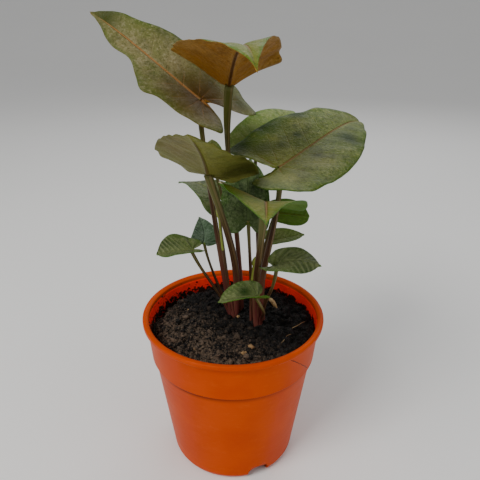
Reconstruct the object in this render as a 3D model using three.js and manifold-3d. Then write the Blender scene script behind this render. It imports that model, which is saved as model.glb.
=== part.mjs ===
// Potted arrowhead plant: copper-backed leaves on long stalks, two shoots in peat, a plain nursery pot.
// Millimetres, +Z up. The origin is the middle of the pot's underside, and the front faces -Y.
import * as THREE from 'three';
import { mergeVertices } from 'three/addons/utils/BufferGeometryUtils.js';
import Module from 'manifold-3d';

const wasm = await Module();
wasm.setup();

// Clearance between pieces that touch, and the thickness of a leaf
const GAP = 0.3;
const LEAF_THICKNESS = 0.8;

// Pot: a 12 cm thin-walled nursery pot with a collar and a rolled rim. Its floor stands flat in the middle
// and is raised in a ring by the wall, and three arches in the foot let water out from under that ring.
const POT = {
  height: 107,
  rimRadius: 60,
  lipHeight: 3.4,
  collarTopRadius: 57.3,
  collarFootRadius: 55,
  collarFootHeight: 79,
  wallTopRadius: 53.2,
  wallFootRadius: 43.2,
  footRadius: 39.2,
  cornerHeight: 6,
  standRadius: 27,
  raisedRadius: 31,
  raisedHeight: 9,
  wall: 1.3,
  floor: 1.6,
  sides: 60,
};
const NOTCH = { width: 14.5, height: 8.7, arch: 4, innerRadius: 34, depth: 14, firstAngle: -66, count: 3 };

// Soil: its mean level, the mound at the back left, and the two shoots' places and plain holes
const SOIL = { level: 96.4, moundHeight: 2.2, moundAt: [-14, 20], moundSpread: 24, edgeDrop: 1.4, sides: 40 };
const SHOOTS = {
  left: { at: [3, 12], holeRadius: 8.2 },
  right: { at: [17.5, 3.5], holeRadius: 8 },
};
const SHOOT_FOOT = 80;
const SHOOT_TOP = 94.5;
const STALK_FOOT = 91;

// Half outlines of a blade, [across, along] in blade lengths, from the tip round the lobe to the stalk
const ARROW = [
  [0, 1], [0.03, 0.93], [0.085, 0.8], [0.16, 0.62], [0.235, 0.42], [0.295, 0.2],
  [0.33, 0], [0.335, -0.17], [0.27, -0.33], [0.16, -0.27], [0.07, -0.13], [0, 0],
];
const HEART = [
  [0, 1], [0.085, 0.955], [0.22, 0.85], [0.345, 0.66], [0.4, 0.43], [0.405, 0.2],
  [0.385, 0], [0.34, -0.18], [0.235, -0.31], [0.13, -0.27], [0.055, -0.13], [0, 0],
];

// What a leaf has unless its own entry says otherwise. Pairs are stalk end and tip, or left and right.
// heading: compass direction of the midrib. rise: its climb. droop: how late the climb changes.
// roll: turn about the midrib. fold: how far each half is raised, tipFold at the tip, lobeFold more at
// the lobes. curl: bend of each half towards its margin. lobeRise: climb of the lobes. Angles in degrees.
// heart: 0 for an arrow outline, 1 for a heart. sinus: how open the cleft between the lobes is.
// swells: bulges of the margin, dents where negative, each with its half, its place as a share of the
// outline from the tip, its spread and its reach in blade lengths. rows, columns: how finely it is divided.
// stalk: shoot, foot offset, radii at foot and top, and sideways pull of the curve at foot and top.
const LEAF = {
  droop: 1, roll: [0, 0], fold: [15, 15], tipFold: 15, curl: [0, 0], lobeFold: [0, 0], lobeRise: 0,
  width: [1, 1], lobes: [1, 1], sinus: [1, 1], heart: 0.4, swells: [], rows: 13, columns: 3,
};
const LARGE = { rows: 23, columns: 4 };
// Rows past the lobe's end over which a narrow cleft closes in
const CLEFT_ROWS = 2;
const GREEN = 0x5f6f48;
const OLIVE = 0x6d6c45;
const SHADE = 0x34502f;

const LEAVES = {
  top_left: {
    ...LARGE, colour: OLIVE, joint: [-19, 8, 244], length: 89, heading: [164, 142], rise: [36, 20],
    droop: 2.25, roll: [16, 42], fold: [8, 12], tipFold: 8, curl: [-22, -15], lobeFold: [9, -9],
    lobeRise: -3, width: [0.72, 1.1], lobes: [0.8, 1], heart: 0.1,
    swells: [[0, 0.1, 0.05, -0.012], [0, 0.3, 0.05, -0.05], [0, 0.425, 0.04, 0.055],
      [0, 0.9, 0.07, -0.04], [1, 0.2, 0.04, -0.02]],
    stalk: { shoot: 'left', foot: [-3.5, -1.5], radii: [1.9, 1.2], pull: [[-7, -6], [4, -5]] },
  },
  top_front: {
    ...LARGE, colour: OLIVE, joint: [-2, -19, 255], length: 94, heading: [-86, -80], rise: [30, -36],
    droop: 2.4, roll: [0, -6], fold: [44, 47], tipFold: -4, curl: [-20, -18], lobeFold: [-8, 0],
    lobeRise: -48, width: [1.07, 1.17], lobes: [0.95, 0.8], heart: -0.15,
    stalk: { shoot: 'left', foot: [2, 1], radii: [2.5, 1.8], pull: [[3, 14], [-6, 24]] },
  },
  large_right: {
    ...LARGE, colour: GREEN, joint: [26, -11, 209], length: 102, heading: [41, 60], rise: [16, -18],
    droop: 2.3, roll: [1, -32], fold: [16, 16], tipFold: 6, curl: [-17, -36], lobeFold: [-6, 10],
    lobeRise: -21, width: [1.24, 1.06], lobes: [0.15, 1.15], sinus: [0.15, 0.4], heart: 0.1,
    stalk: { shoot: 'right', foot: [3, 1], radii: [2, 1.2], pull: [[-8, -5], [2, -5]] },
  },
  front_centre: {
    ...LARGE, colour: GREEN, joint: [16, -53, 203.5], length: 57, heading: [-92, -94], rise: [24, -3],
    droop: 1.1, roll: [11, -6], fold: [12, 14], tipFold: 5, lobeFold: [-9, -4],
    lobeRise: 3, width: [1.15, 1.35], lobes: [1.05, 0.9], heart: -0.15,
    stalk: { shoot: 'right', foot: [-1, -4], radii: [2.2, 1.5], pull: [[-3, 0], [-2, 0]] },
  },
  left_middle: {
    ...LARGE, colour: OLIVE, joint: [-13, -34, 212], length: 80, heading: [-91, -95], rise: [34, 22],
    roll: [12, 16], fold: [5, 15], tipFold: 0, curl: [25, -5], lobeFold: [6, 5],
    lobeRise: -12, width: [1, 1.15], lobes: [1.05, 0.95], heart: 0.05,
    stalk: { shoot: 'left', foot: [-2.5, -4], radii: [2.3, 1.6], pull: [[6, 0], [12, 0]] },
  },
  under_right: {
    colour: SHADE, joint: [26, 3, 176.5], length: 23, heading: [-20, -40], rise: [3, 6],
    roll: [60, 72], fold: [10, 14], tipFold: 15, curl: [-25, 0], lobes: [0.5, 0.6], heart: 1.2,
    stalk: { shoot: 'right', foot: [1.5, 3.5], radii: [1.3, 0.9], pull: [[-3, 0], [-9, 0]] },
  },
  centre_shade: {
    colour: SHADE, joint: [9, -12, 176], length: 37, heading: [96, 74], rise: [76, 74],
    roll: [16, 0], fold: [10, 16], tipFold: 14, curl: [-10, 0], width: [1.1, 0.95], lobes: [0.6, 0.6],
    heart: 0.9,
    stalk: { shoot: 'right', foot: [-4.5, 1], radii: [1.4, 0.9], pull: [[0, 0], [1, 0]] },
  },
  left_behind: {
    colour: GREEN, joint: [-10, 22, 179], length: 41, heading: [130, 141], rise: [26, -22],
    roll: [4, -18], fold: [12, 16], tipFold: -4, lobeFold: [-20, 0], heart: 0.4,
    stalk: { shoot: 'left', foot: [-3, 4], radii: [1.3, 0.9], pull: [[-4, 0], [3, 0]] },
  },
  low_left: {
    colour: GREEN, joint: [-25, -9, 156.5], length: 22, heading: [192, 176], rise: [0, -12],
    roll: [0, 22], fold: [15, 13], tipFold: 30, width: [1.05, 1.35], heart: 1.2,
    stalk: { shoot: 'left', foot: [-3, -2], radii: [1.3, 0.9], pull: [[-7, 0], [9, 0]] },
  },
  curled_left: {
    colour: SHADE, joint: [-19, 13, 150.5], length: 27, heading: [82, 120], rise: [8, 31],
    roll: [-5, 0], fold: [22, 18], tipFold: 17, lobeFold: [6, 6], lobeRise: -20, lobes: [0.8, 0.8],
    stalk: { shoot: 'left', foot: [-3, 1.5], radii: [1.2, 0.8], pull: [[-7, 0], [3, 0]] },
  },
  low_right: {
    colour: GREEN, joint: [24, -34, 158], length: 28, heading: [-25, -15], rise: [37, -24],
    droop: 1.25, roll: [-3, -10], fold: [27, 26], tipFold: -25, curl: [8, -15], lobeFold: [0, 20],
    lobeRise: -20, width: [1.07, 1.03], lobes: [0.66, 0.8], heart: 0.9,
    stalk: { shoot: 'right', foot: [4, -3], radii: [1.3, 0.9], pull: [[-5, 0], [-1, 0]] },
  },
  mid_right: {
    colour: GREEN, joint: [24, 12, 152.5], length: 23, heading: [0, 8], rise: [16, 5],
    roll: [-8, -12], fold: [24, 20], tipFold: 2, curl: [10, -6], lobes: [0.55, 0.67], heart: 0.65,
    stalk: { shoot: 'right', foot: [4, 2], radii: [1.2, 0.8], pull: [[-3, 0], [-4, 0]] },
  },
  front_low: {
    colour: GREEN, joint: [14, -39, 140.5], length: 24, heading: [205, 185], rise: [20, -18],
    fold: [26, 28], tipFold: 6, curl: [14, 14], width: [1, 1.2], lobes: [0.6, 0.7], heart: 0.65,
    stalk: { shoot: 'right', foot: [1.5, -5], radii: [1.1, 0.8], pull: [[-2, 2], [10, 0]] },
  },
  back_right: {
    ...LARGE, rows: 15, colour: GREEN, joint: [15, 45, 209], length: 50, heading: [50, 65],
    rise: [30, 5], roll: [-14, 0], fold: [15, 18], tipFold: 17, lobeRise: -7, heart: 0.6,
    stalk: { shoot: 'right', foot: [-2, 4], radii: [1.5, 1], pull: [[5, 6], [-2, -4]] },
  },
  back_left: {
    colour: GREEN, joint: [-12, 14, 203], length: 20, heading: [95, 95], rise: [50, 30], heart: 0.5,
    stalk: { shoot: 'left', foot: [-1, 0], radii: [1.2, 0.8], pull: [[3, -2], [9, -2]] },
  },
};

// Rolled leaves that have not opened, each a spindle on a thin stalk of its own
const YOUNG = {
  left: { tip: [-9.5, 2, 184], foot: [-1, -5], bow: [-2, -6, 0], radii: [0.9, 0.7], bud: 1.7 },
  right: { tip: [14, -6, 150], foot: [-5, -2], bow: [-3, 0, 0], radii: [0.9, 0.7], bud: 1.6 },
};

const rad = THREE.MathUtils.degToRad;
const mix = (from, to, t) => from + (to - from) * t;
const clamp = THREE.MathUtils.clamp;

// A closed mesh as a solid that can be joined and cut, and a solid as a geometry again
function toSolid(geometry) {
  const bare = geometry.clone();
  bare.deleteAttribute('normal');
  bare.deleteAttribute('uv');
  const merged = mergeVertices(bare, 1e-4);
  const triVerts = new Uint32Array(merged.index.array);
  const vertProperties = new Float32Array(merged.attributes.position.array);
  return new wasm.Manifold(new wasm.Mesh({ numProp: 3, vertProperties, triVerts }));
}

function toGeometry(solid) {
  const mesh = solid.getMesh();
  const geometry = new THREE.BufferGeometry();
  geometry.setAttribute('position', new THREE.BufferAttribute(new Float32Array(mesh.vertProperties), 3));
  geometry.setIndex(new THREE.BufferAttribute(new Uint32Array(mesh.triVerts), 1));
  geometry.computeVertexNormals();
  return geometry;
}

function toMesh(name, geometry, colour, roughness) {
  const material = new THREE.MeshStandardMaterial({ color: colour, roughness, metalness: 0 });
  const mesh = new THREE.Mesh(geometry, material);
  mesh.name = name;
  return mesh;
}

// Smooth curve through the given points, sampled evenly by their spacing
function smooth(points, count) {
  const last = points.length - 1;
  const before = [2 * points[0][0] - points[1][0], 2 * points[0][1] - points[1][1]];
  const after = [2 * points[last][0] - points[last - 1][0], 2 * points[last][1] - points[last - 1][1]];
  const all = [before, ...points, after];
  const reach = [0];
  for (let i = 1; i <= last; i += 1) {
    reach.push(reach[i - 1] + Math.hypot(points[i][0] - points[i - 1][0], points[i][1] - points[i - 1][1]));
  }
  const curve = [];
  for (let n = 0; n < count; n += 1) {
    const at = (n / (count - 1)) * reach[last];
    let k = 0;
    while (k < last - 1 && reach[k + 1] <= at) k += 1;
    const f = (at - reach[k]) / (reach[k + 1] - reach[k]);
    const [p0, p1, p2, p3] = all.slice(k, k + 4);
    curve.push([0, 1].map((i) => 0.5 * (2 * p1[i] + (p2[i] - p0[i]) * f
      + (2 * p0[i] - 5 * p1[i] + 4 * p2[i] - p3[i]) * f ** 2
      + (3 * p1[i] - p0[i] - 3 * p2[i] + p3[i]) * f ** 3)));
  }
  return curve;
}

// The bent surface of one leaf: flat places (across, along) in millimetres become points in space
class Blade {
  static BACK = 0.6;
  static STEPS = 160;

  constructor(spec) {
    this.spec = { ...LEAF, ...spec };
    const { joint, length } = this.spec;
    const step = (1 + Blade.BACK) / Blade.STEPS;
    this.midrib = [new THREE.Vector3()];
    for (let i = 1; i <= Blade.STEPS; i += 1) {
      const a = this.turn(-Blade.BACK + (i - 1) * step).along;
      const b = this.turn(-Blade.BACK + i * step).along;
      this.midrib.push(this.midrib[i - 1].clone().addScaledVector(a.add(b), (step * length) / 2));
    }
    const shift = new THREE.Vector3(...joint).sub(this.onMidrib(0));
    this.midrib.forEach((point) => point.add(shift));
  }

  // Directions at a share u of the blade's length: along the midrib, across to the right, and out
  turn(u) {
    const { heading, rise, droop, roll, lobeRise } = this.spec;
    const front = Math.max(u, 0);
    const el = rad(mix(rise[0], rise[1], front ** droop) + (lobeRise * Math.max(-u, 0)) / 0.35);
    const az = rad(mix(heading[0], heading[1], front));
    const ro = rad(mix(roll[0], roll[1], front));
    const along = new THREE.Vector3(Math.cos(el) * Math.cos(az), Math.cos(el) * Math.sin(az), Math.sin(el));
    const up = new THREE.Vector3(-Math.sin(el) * Math.cos(az), -Math.sin(el) * Math.sin(az), Math.cos(el));
    const right = new THREE.Vector3(Math.sin(az), -Math.cos(az), 0);
    const across = right.clone().multiplyScalar(Math.cos(ro)).addScaledVector(up, Math.sin(ro));
    const out = up.multiplyScalar(Math.cos(ro)).addScaledVector(right, -Math.sin(ro));
    return { along, across, out };
  }

  onMidrib(u) {
    const at = ((u + Blade.BACK) / (1 + Blade.BACK)) * Blade.STEPS;
    const k = clamp(Math.floor(at), 0, Blade.STEPS - 1);
    return this.midrib[k].clone().lerp(this.midrib[k + 1], at - k);
  }

  point(side, x, y) {
    const { length, fold, tipFold, lobeFold, curl } = this.spec;
    const u = y / length;
    const front = clamp(u, 0, 1);
    const back = clamp(-u / 0.3, 0, 1);
    const lift = rad(mix(fold[side] + lobeFold[side] * back, tipFold, front));
    const reach = 0.33 * length;
    const bend = (Math.abs(curl[side]) < 0.01 ? 1e-4 : rad(curl[side])) / reach;
    const sideways = (Math.sin(lift + bend * x) - Math.sin(lift)) / bend;
    const height = (Math.cos(lift) - Math.cos(lift + bend * x)) / bend;
    const { across, out } = this.turn(u);
    return this.onMidrib(u).addScaledVector(across, side ? sideways : -sideways).addScaledVector(out, height);
  }

  // Flat grid of one half: rows from the midrib to the margin, which fan out round the stalk
  rows(side) {
    const { heart, width, lobes, sinus, swells, length, rows, columns } = this.spec;
    const own = swells.filter(([half]) => half === side);
    const outline = ARROW.map((p, i) => [mix(p[0], HEART[i][0], heart), mix(p[1], HEART[i][1], heart)]);
    const half = smooth(outline, rows).slice(0, -1);
    const lobeEnd = half.reduce((lowest, p, i) => (p[1] < half[lowest][1] ? i : lowest), 0);
    return half.map(([a, b], i) => {
      const open = mix(1, sinus[side], clamp((i - lobeEnd) / CLEFT_ROWS, 0, 1));
      const share = i / (rows - 1);
      const bulge = own.reduce((sum, [, at, spread, reach]) => (
        sum + reach * Math.exp(-(((share - at) / spread) ** 2))), 0);
      const wide = a * width[side] + (i ? bulge : 0);
      const edge = [wide * open * length, (b < 0 ? b * lobes[side] : b) * length];
      const start = clamp((b - 0.1) / 0.9, 0, 1) * length;
      return Array.from({ length: columns + 1 }, (_, j) => {
        const t = j / columns;
        return [edge[0] * t, mix(start, edge[1], t)];
      });
    });
  }

  // Closed solid: the upper face, the same triangles a leaf's thickness below, and a wall round the edge
  geometry() {
    const points = [];
    const found = new Map();
    const place = (side, [x, y]) => {
      const key = `${x < 1e-6 ? 0 : side * 2 - 1} ${x.toFixed(4)} ${y.toFixed(4)}`;
      if (!found.has(key)) {
        found.set(key, points.length);
        points.push(this.point(side, x, y));
      }
      return found.get(key);
    };
    const faces = [];
    const addFace = (side, a, b, c) => {
      if (a === b || b === c || c === a) return;
      faces.push(side ? [a, b, c] : [a, c, b]);
    };
    for (const side of [0, 1]) {
      const grid = this.rows(side).map((row) => row.map((spot) => place(side, spot)));
      for (let i = 0; i + 1 < grid.length; i += 1) {
        for (let j = 0; j + 1 < grid[i].length; j += 1) {
          addFace(side, grid[i][j], grid[i + 1][j], grid[i + 1][j + 1]);
          addFace(side, grid[i][j], grid[i + 1][j + 1], grid[i][j + 1]);
        }
      }
    }
    return thicken(points, faces, LEAF_THICKNESS);
  }
}

// A closed solid from an open surface of triangles, with its lower face one thickness below
function thicken(points, faces, thickness) {
  const normals = points.map(() => new THREE.Vector3());
  const edges = new Map();
  for (const [a, b, c] of faces) {
    const ab = points[b].clone().sub(points[a]);
    const normal = ab.cross(points[c].clone().sub(points[a]));
    for (const k of [a, b, c]) normals[k].add(normal);
    for (const [from, to] of [[a, b], [b, c], [c, a]]) {
      if (edges.has(`${to} ${from}`)) edges.delete(`${to} ${from}`);
      else edges.set(`${from} ${to}`, [from, to]);
    }
  }
  const count = points.length;
  const lower = points.map((p, i) => p.clone().addScaledVector(normals[i].normalize(), -thickness));
  const index = faces.flatMap(([a, b, c]) => [a, b, c, a + count, c + count, b + count]);
  for (const [from, to] of edges.values()) {
    index.push(to, from, from + count, to, from + count, to + count);
  }
  const geometry = new THREE.BufferGeometry().setFromPoints([...points, ...lower]);
  geometry.setIndex(index);
  geometry.computeVertexNormals();
  return geometry;
}

// Closed round stalk along a curve, with a radius for each ring. Its last ring is moved along the curve
// onto the plane given by a point and a direction, so that it ends flat under a blade.
function stalk(curve, rings, radiusAt, end) {
  const sides = 8;
  const points = [];
  const side = new THREE.Vector3(1, 0, 0);
  for (let i = 0; i <= rings; i += 1) {
    const t = i / rings;
    const along = curve.getTangent(t);
    side.addScaledVector(along, -side.dot(along)).normalize();
    const other = along.clone().cross(side);
    const centre = curve.getPoint(t);
    for (let k = 0; k < sides; k += 1) {
      const turn = (2 * Math.PI * k) / sides;
      const point = centre.clone()
        .addScaledVector(side, radiusAt(t) * Math.cos(turn))
        .addScaledVector(other, radiusAt(t) * Math.sin(turn));
      if (end && i === rings) {
        const short = end.point.clone().sub(point).dot(end.out) / along.dot(end.out);
        point.addScaledVector(along, short);
      }
      points.push(point);
    }
  }
  const index = [];
  for (let i = 0; i < rings; i += 1) {
    for (let k = 0; k < sides; k += 1) {
      const a = i * sides + k;
      const b = i * sides + ((k + 1) % sides);
      index.push(a, b, b + sides, a, b + sides, a + sides);
    }
  }
  const top = rings * sides;
  for (let k = 1; k + 1 < sides; k += 1) {
    index.push(0, k + 1, k);
    index.push(top, top + k, top + k + 1);
  }
  const geometry = new THREE.BufferGeometry().setFromPoints(points);
  geometry.setIndex(index);
  return geometry;
}

// Stalk of one leaf: up from the shoot, thick and sheathing at its foot, and flat under the blade
function leafStalk(blade) {
  const { joint, stalk: s } = blade.spec;
  const { along, out } = blade.turn(0);
  const [x, y] = SHOOTS[s.shoot].at;
  const foot = new THREE.Vector3(x + s.foot[0], y + s.foot[1], STALK_FOOT);
  const seat = new THREE.Vector3(...joint)
    .addScaledVector(along, s.radii[1] * 0.8)
    .addScaledVector(out, -LEAF_THICKNESS - GAP);
  const height = seat.distanceTo(foot);
  const low = foot.clone().add(new THREE.Vector3(s.pull[0][0], s.pull[0][1], 0.35 * height));
  const high = seat.clone().add(new THREE.Vector3(s.pull[1][0], s.pull[1][1], -0.3 * height));
  const curve = new THREE.CubicBezierCurve3(foot, low, high, seat);
  const rings = Math.round(clamp(height / 10, 8, 14));
  const radiusAt = (t) => mix(s.radii[0], s.radii[1], Math.min(1, 1.3 * t));
  return stalk(curve, rings, radiusAt, { point: seat, out });
}

// Thin stalk that ends in a rolled, pointed young leaf
function youngLeaf(name, { tip, foot, bow, radii, bud }) {
  const [x, y] = SHOOTS[name].at;
  const start = new THREE.Vector3(x + foot[0], y + foot[1], STALK_FOOT);
  const end = new THREE.Vector3(...tip);
  const middle = start.clone().lerp(end, 0.6).add(new THREE.Vector3(...bow));
  const curve = new THREE.QuadraticBezierCurve3(start, middle, end);
  const budShare = 0.86;
  const radiusAt = (t) => (t < budShare
    ? mix(radii[0], radii[1], t)
    : Math.max(0.25, bud * Math.sin(Math.PI * mix(0.18, 1, (t - budShare) / (1 - budShare))) ** 0.8));
  return stalk(curve, 14, radiusAt, null);
}

function potGeometry() {
  const {
    height, rimRadius, lipHeight, collarTopRadius, collarFootRadius, collarFootHeight,
    wallTopRadius, wallFootRadius, footRadius, cornerHeight, standRadius, raisedRadius, raisedHeight,
    wall, floor, sides,
  } = POT;
  const lipFoot = height - lipHeight;
  const corner = (radius, rise, turns) => turns.map((turn) => new THREE.Vector2(
    footRadius + (radius - footRadius) * Math.sin(rad(turn)),
    rise * (1 - Math.cos(rad(turn))),
  ));
  const inside = (radius, z) => new THREE.Vector2(radius - wall, z);
  const profile = [
    new THREE.Vector2(0, 0),
    new THREE.Vector2(standRadius, 0),
    new THREE.Vector2(raisedRadius, raisedHeight),
    inside(wallFootRadius + 0.3, raisedHeight),
    inside(wallFootRadius - 0.1, cornerHeight),
    inside(footRadius + 2.4, 2.4),
    inside(footRadius, 0),
    new THREE.Vector2(footRadius, 0),
    ...corner(wallFootRadius, cornerHeight, [35, 65, 90]),
    new THREE.Vector2(wallTopRadius, collarFootHeight - 0.6),
    new THREE.Vector2(collarFootRadius, collarFootHeight),
    new THREE.Vector2(collarTopRadius, lipFoot - 0.6),
    new THREE.Vector2(rimRadius - 0.5, lipFoot),
    new THREE.Vector2(rimRadius, lipFoot + 0.8),
    new THREE.Vector2(rimRadius, height - 0.8),
    new THREE.Vector2(rimRadius - 0.8, height),
    new THREE.Vector2(collarTopRadius, height),
    new THREE.Vector2(collarTopRadius - wall, height - 0.9),
    inside(collarFootRadius, collarFootHeight + 0.6),
    inside(wallTopRadius, collarFootHeight - 1.2),
    inside(wallFootRadius + 0.7, raisedHeight + floor + 1.2),
    inside(wallFootRadius - 0.6, raisedHeight + floor),
    new THREE.Vector2(raisedRadius - 1, raisedHeight + floor),
    new THREE.Vector2(standRadius - 1, floor),
    new THREE.Vector2(0, floor),
  ];
  return new THREE.LatheGeometry(profile, sides).rotateX(Math.PI / 2);
}

function notchGeometry(angle) {
  const { width, height, arch: rise, innerRadius, depth } = NOTCH;
  const arch = new THREE.Shape();
  arch.moveTo(-width / 2, -2);
  arch.lineTo(width / 2, -2);
  arch.lineTo(width / 2, height - rise);
  arch.absellipse(0, height - rise, width / 2, rise, 0, Math.PI, false, 0);
  const prism = new THREE.ExtrudeGeometry(arch, { depth, bevelEnabled: false, curveSegments: 6 });
  prism.rotateX(Math.PI / 2).translate(0, -innerRadius, 0);
  return prism.rotateZ(rad(angle + 90));
}

function makePot() {
  let solid = toSolid(potGeometry());
  for (let i = 0; i < NOTCH.count; i += 1) {
    solid = solid.subtract(toSolid(notchGeometry(NOTCH.firstAngle + (i * 360) / NOTCH.count)));
  }
  return toMesh('pot', toGeometry(solid), 0xc2501f, 0.45);
}

// Height of the soil: level in the middle, a mound at the back left, lower by the wall, and lumpy
function soilHeight(x, y) {
  const { level, moundHeight, moundAt, moundSpread, edgeDrop } = SOIL;
  const away = Math.hypot(x - moundAt[0], y - moundAt[1]) / moundSpread;
  const edge = Math.hypot(x, y) / 54;
  const lumps = 0.8 * Math.sin(0.31 * x + 1.3) * Math.cos(0.27 * y + 0.4)
    + 0.5 * Math.sin(0.73 * x - 0.41 * y) + 0.3 * Math.cos(0.9 * y + 0.6 * x + 2);
  return level + moundHeight * Math.exp(-(away ** 2) / 2) - edgeDrop * edge ** 4 + lumps;
}

function makeSoil() {
  const { sides } = SOIL;
  const {
    wallTopRadius, wallFootRadius, collarFootRadius, collarTopRadius, collarFootHeight,
    standRadius, raisedRadius, raisedHeight, wall, floor,
  } = POT;
  const slope = (collarTopRadius - collarFootRadius) / (POT.height - collarFootHeight);
  const collarAt = (z) => collarFootRadius + (z - collarFootHeight) * slope - wall - 0.5;
  const topRadii = [5, 12, 20, 28, 36, 44, 50, collarAt(93)];
  const bottomHeight = floor + GAP;
  const ledgeHeight = raisedHeight + bottomHeight;
  const wallRings = [
    [collarAt(82) - 0.3, 82],
    [wallTopRadius - wall - 0.9, collarFootHeight - 2],
    [wallFootRadius - wall - 0.2, ledgeHeight + 2.5],
    [wallFootRadius - wall - 1.6, ledgeHeight],
    [raisedRadius - 1.3, ledgeHeight],
    [standRadius - 1.4, bottomHeight],
  ];
  const points = [new THREE.Vector3(0, 0, soilHeight(0, 0))];
  const ring = (radius, heightAt) => {
    for (let k = 0; k < sides; k += 1) {
      const turn = (2 * Math.PI * k) / sides;
      const x = radius * Math.cos(turn);
      const y = radius * Math.sin(turn);
      points.push(new THREE.Vector3(x, y, heightAt(x, y)));
    }
  };
  topRadii.forEach((radius) => ring(radius, soilHeight));
  wallRings.forEach(([radius, z]) => ring(radius, () => z));
  points.push(new THREE.Vector3(0, 0, bottomHeight));
  const rings = topRadii.length + wallRings.length;
  const bottom = points.length - 1;
  const index = [];
  for (let k = 0; k < sides; k += 1) {
    const next = (k + 1) % sides;
    index.push(0, 1 + k, 1 + next);
    for (let i = 0; i + 1 < rings; i += 1) {
      const a = 1 + i * sides + k;
      const b = 1 + i * sides + next;
      index.push(a, a + sides, b + sides, a, b + sides, b);
    }
    index.push(bottom, 1 + (rings - 1) * sides + next, 1 + (rings - 1) * sides + k);
  }
  const geometry = new THREE.BufferGeometry().setFromPoints(points);
  geometry.setIndex(index);
  let solid = toSolid(geometry);
  for (const { at, holeRadius } of Object.values(SHOOTS)) {
    const hole = new THREE.CylinderGeometry(holeRadius, holeRadius, 40, 24).rotateX(Math.PI / 2);
    hole.translate(at[0], at[1], SHOOT_FOOT - GAP + 20);
    solid = solid.subtract(toSolid(hole));
  }
  return toMesh('soil', toGeometry(solid), 0x1d140f, 0.95);
}

// One shoot: a short stem in the soil's hole, with the stalks of its leaves grown together round it
function makeShoot(name, blades) {
  const { at, holeRadius } = SHOOTS[name];
  const stemRadius = holeRadius - 2 * GAP;
  const stem = new THREE.CylinderGeometry(stemRadius - 0.6, stemRadius, SHOOT_TOP - SHOOT_FOOT, 20);
  stem.rotateX(Math.PI / 2).translate(at[0], at[1], (SHOOT_TOP + SHOOT_FOOT) / 2);
  let solid = toSolid(stem).add(toSolid(youngLeaf(name, YOUNG[name])));
  for (const blade of blades) {
    if (blade.spec.stalk.shoot === name) solid = solid.add(toSolid(leafStalk(blade)));
  }
  return toMesh(`shoot_${name}`, toGeometry(solid), 0x5a2f2c, 0.5);
}

const plant = new THREE.Group();
const blades = Object.entries(LEAVES).map(([name, spec]) => ({ name, blade: new Blade(spec) }));
plant.add(makePot(), makeSoil());
for (const name of Object.keys(SHOOTS)) {
  plant.add(makeShoot(name, blades.map(({ blade }) => blade)));
}
for (const { name, blade } of blades) {
  plant.add(toMesh(`leaf_${name}`, blade.geometry(), blade.spec.colour, 0.45));
}

export default plant;
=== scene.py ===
"""Looks of a potted arrowhead plant: leaves, stalks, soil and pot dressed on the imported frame.

Lengths are in millimetres until a mesh is made, where MM turns them into metres. +Z is up, the
origin is the middle of the pot's underside, and the front faces -Y.
"""
import logging
import math
from dataclasses import dataclass, field
from enum import Enum

import bpy
import numpy as np
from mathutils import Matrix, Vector


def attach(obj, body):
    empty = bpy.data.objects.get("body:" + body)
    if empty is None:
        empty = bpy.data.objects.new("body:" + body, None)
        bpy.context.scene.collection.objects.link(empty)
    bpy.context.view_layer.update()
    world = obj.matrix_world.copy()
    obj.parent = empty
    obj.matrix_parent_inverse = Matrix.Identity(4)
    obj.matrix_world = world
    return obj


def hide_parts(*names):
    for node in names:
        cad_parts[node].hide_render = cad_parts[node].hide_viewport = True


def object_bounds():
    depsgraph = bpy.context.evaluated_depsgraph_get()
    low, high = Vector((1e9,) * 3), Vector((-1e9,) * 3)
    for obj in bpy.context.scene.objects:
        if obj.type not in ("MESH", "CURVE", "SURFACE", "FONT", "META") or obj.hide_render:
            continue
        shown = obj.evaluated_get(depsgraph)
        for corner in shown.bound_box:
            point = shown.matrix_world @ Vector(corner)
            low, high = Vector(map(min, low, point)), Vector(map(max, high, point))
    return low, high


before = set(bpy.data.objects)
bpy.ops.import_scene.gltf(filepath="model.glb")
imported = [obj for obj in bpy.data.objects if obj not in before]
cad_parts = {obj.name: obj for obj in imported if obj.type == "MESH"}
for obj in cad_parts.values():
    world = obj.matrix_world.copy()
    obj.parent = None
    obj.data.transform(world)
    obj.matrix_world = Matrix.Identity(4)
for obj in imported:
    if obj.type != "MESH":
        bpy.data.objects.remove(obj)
cad_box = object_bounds()

log = logging.getLogger("potted_plant")

MM = 0.001
Array = np.ndarray
Colour = tuple[float, float, float]
Pair = tuple[float, float]
Triple = tuple[float, float, float]
Steps = tuple[float, float, float, float]
# Points, faces and the points' values
Mesh = tuple[Array, Array, Array]


class Side(Enum):
    """The two shoots that stand in the soil, with the middle of each on the soil in millimetres."""

    LEFT = (3.0, 12.0)
    RIGHT = (17.5, 3.5)


def shade(red: int, green: int, blue: int) -> Colour:
    """Linear colour of a display colour, by the display curve.

    Args:
        red: Display red, 0 to 255.
        green: Display green, 0 to 255.
        blue: Display blue, 0 to 255.

    Returns:
        The three linear values.
    """
    values = np.array([red, green, blue]) / 255
    linear = np.where(values <= 0.04045, values / 12.92, ((values + 0.055) / 1.055) ** 2.4)
    return tuple(float(value) for value in linear)


def mix(low: Array | float, high: Array | float, share: Array | float) -> Array | float:
    """Straight mix from low, at share 0, to high, at share 1."""
    return low + (high - low) * share


def ease(value: Array, low: float, high: float) -> Array:
    """Smooth step: 0 up to low, 1 from high on, and 3t^2 - 2t^3 between."""
    share = np.clip((value - low) / (high - low), 0, 1)
    return share * share * (3 - 2 * share)


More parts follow.
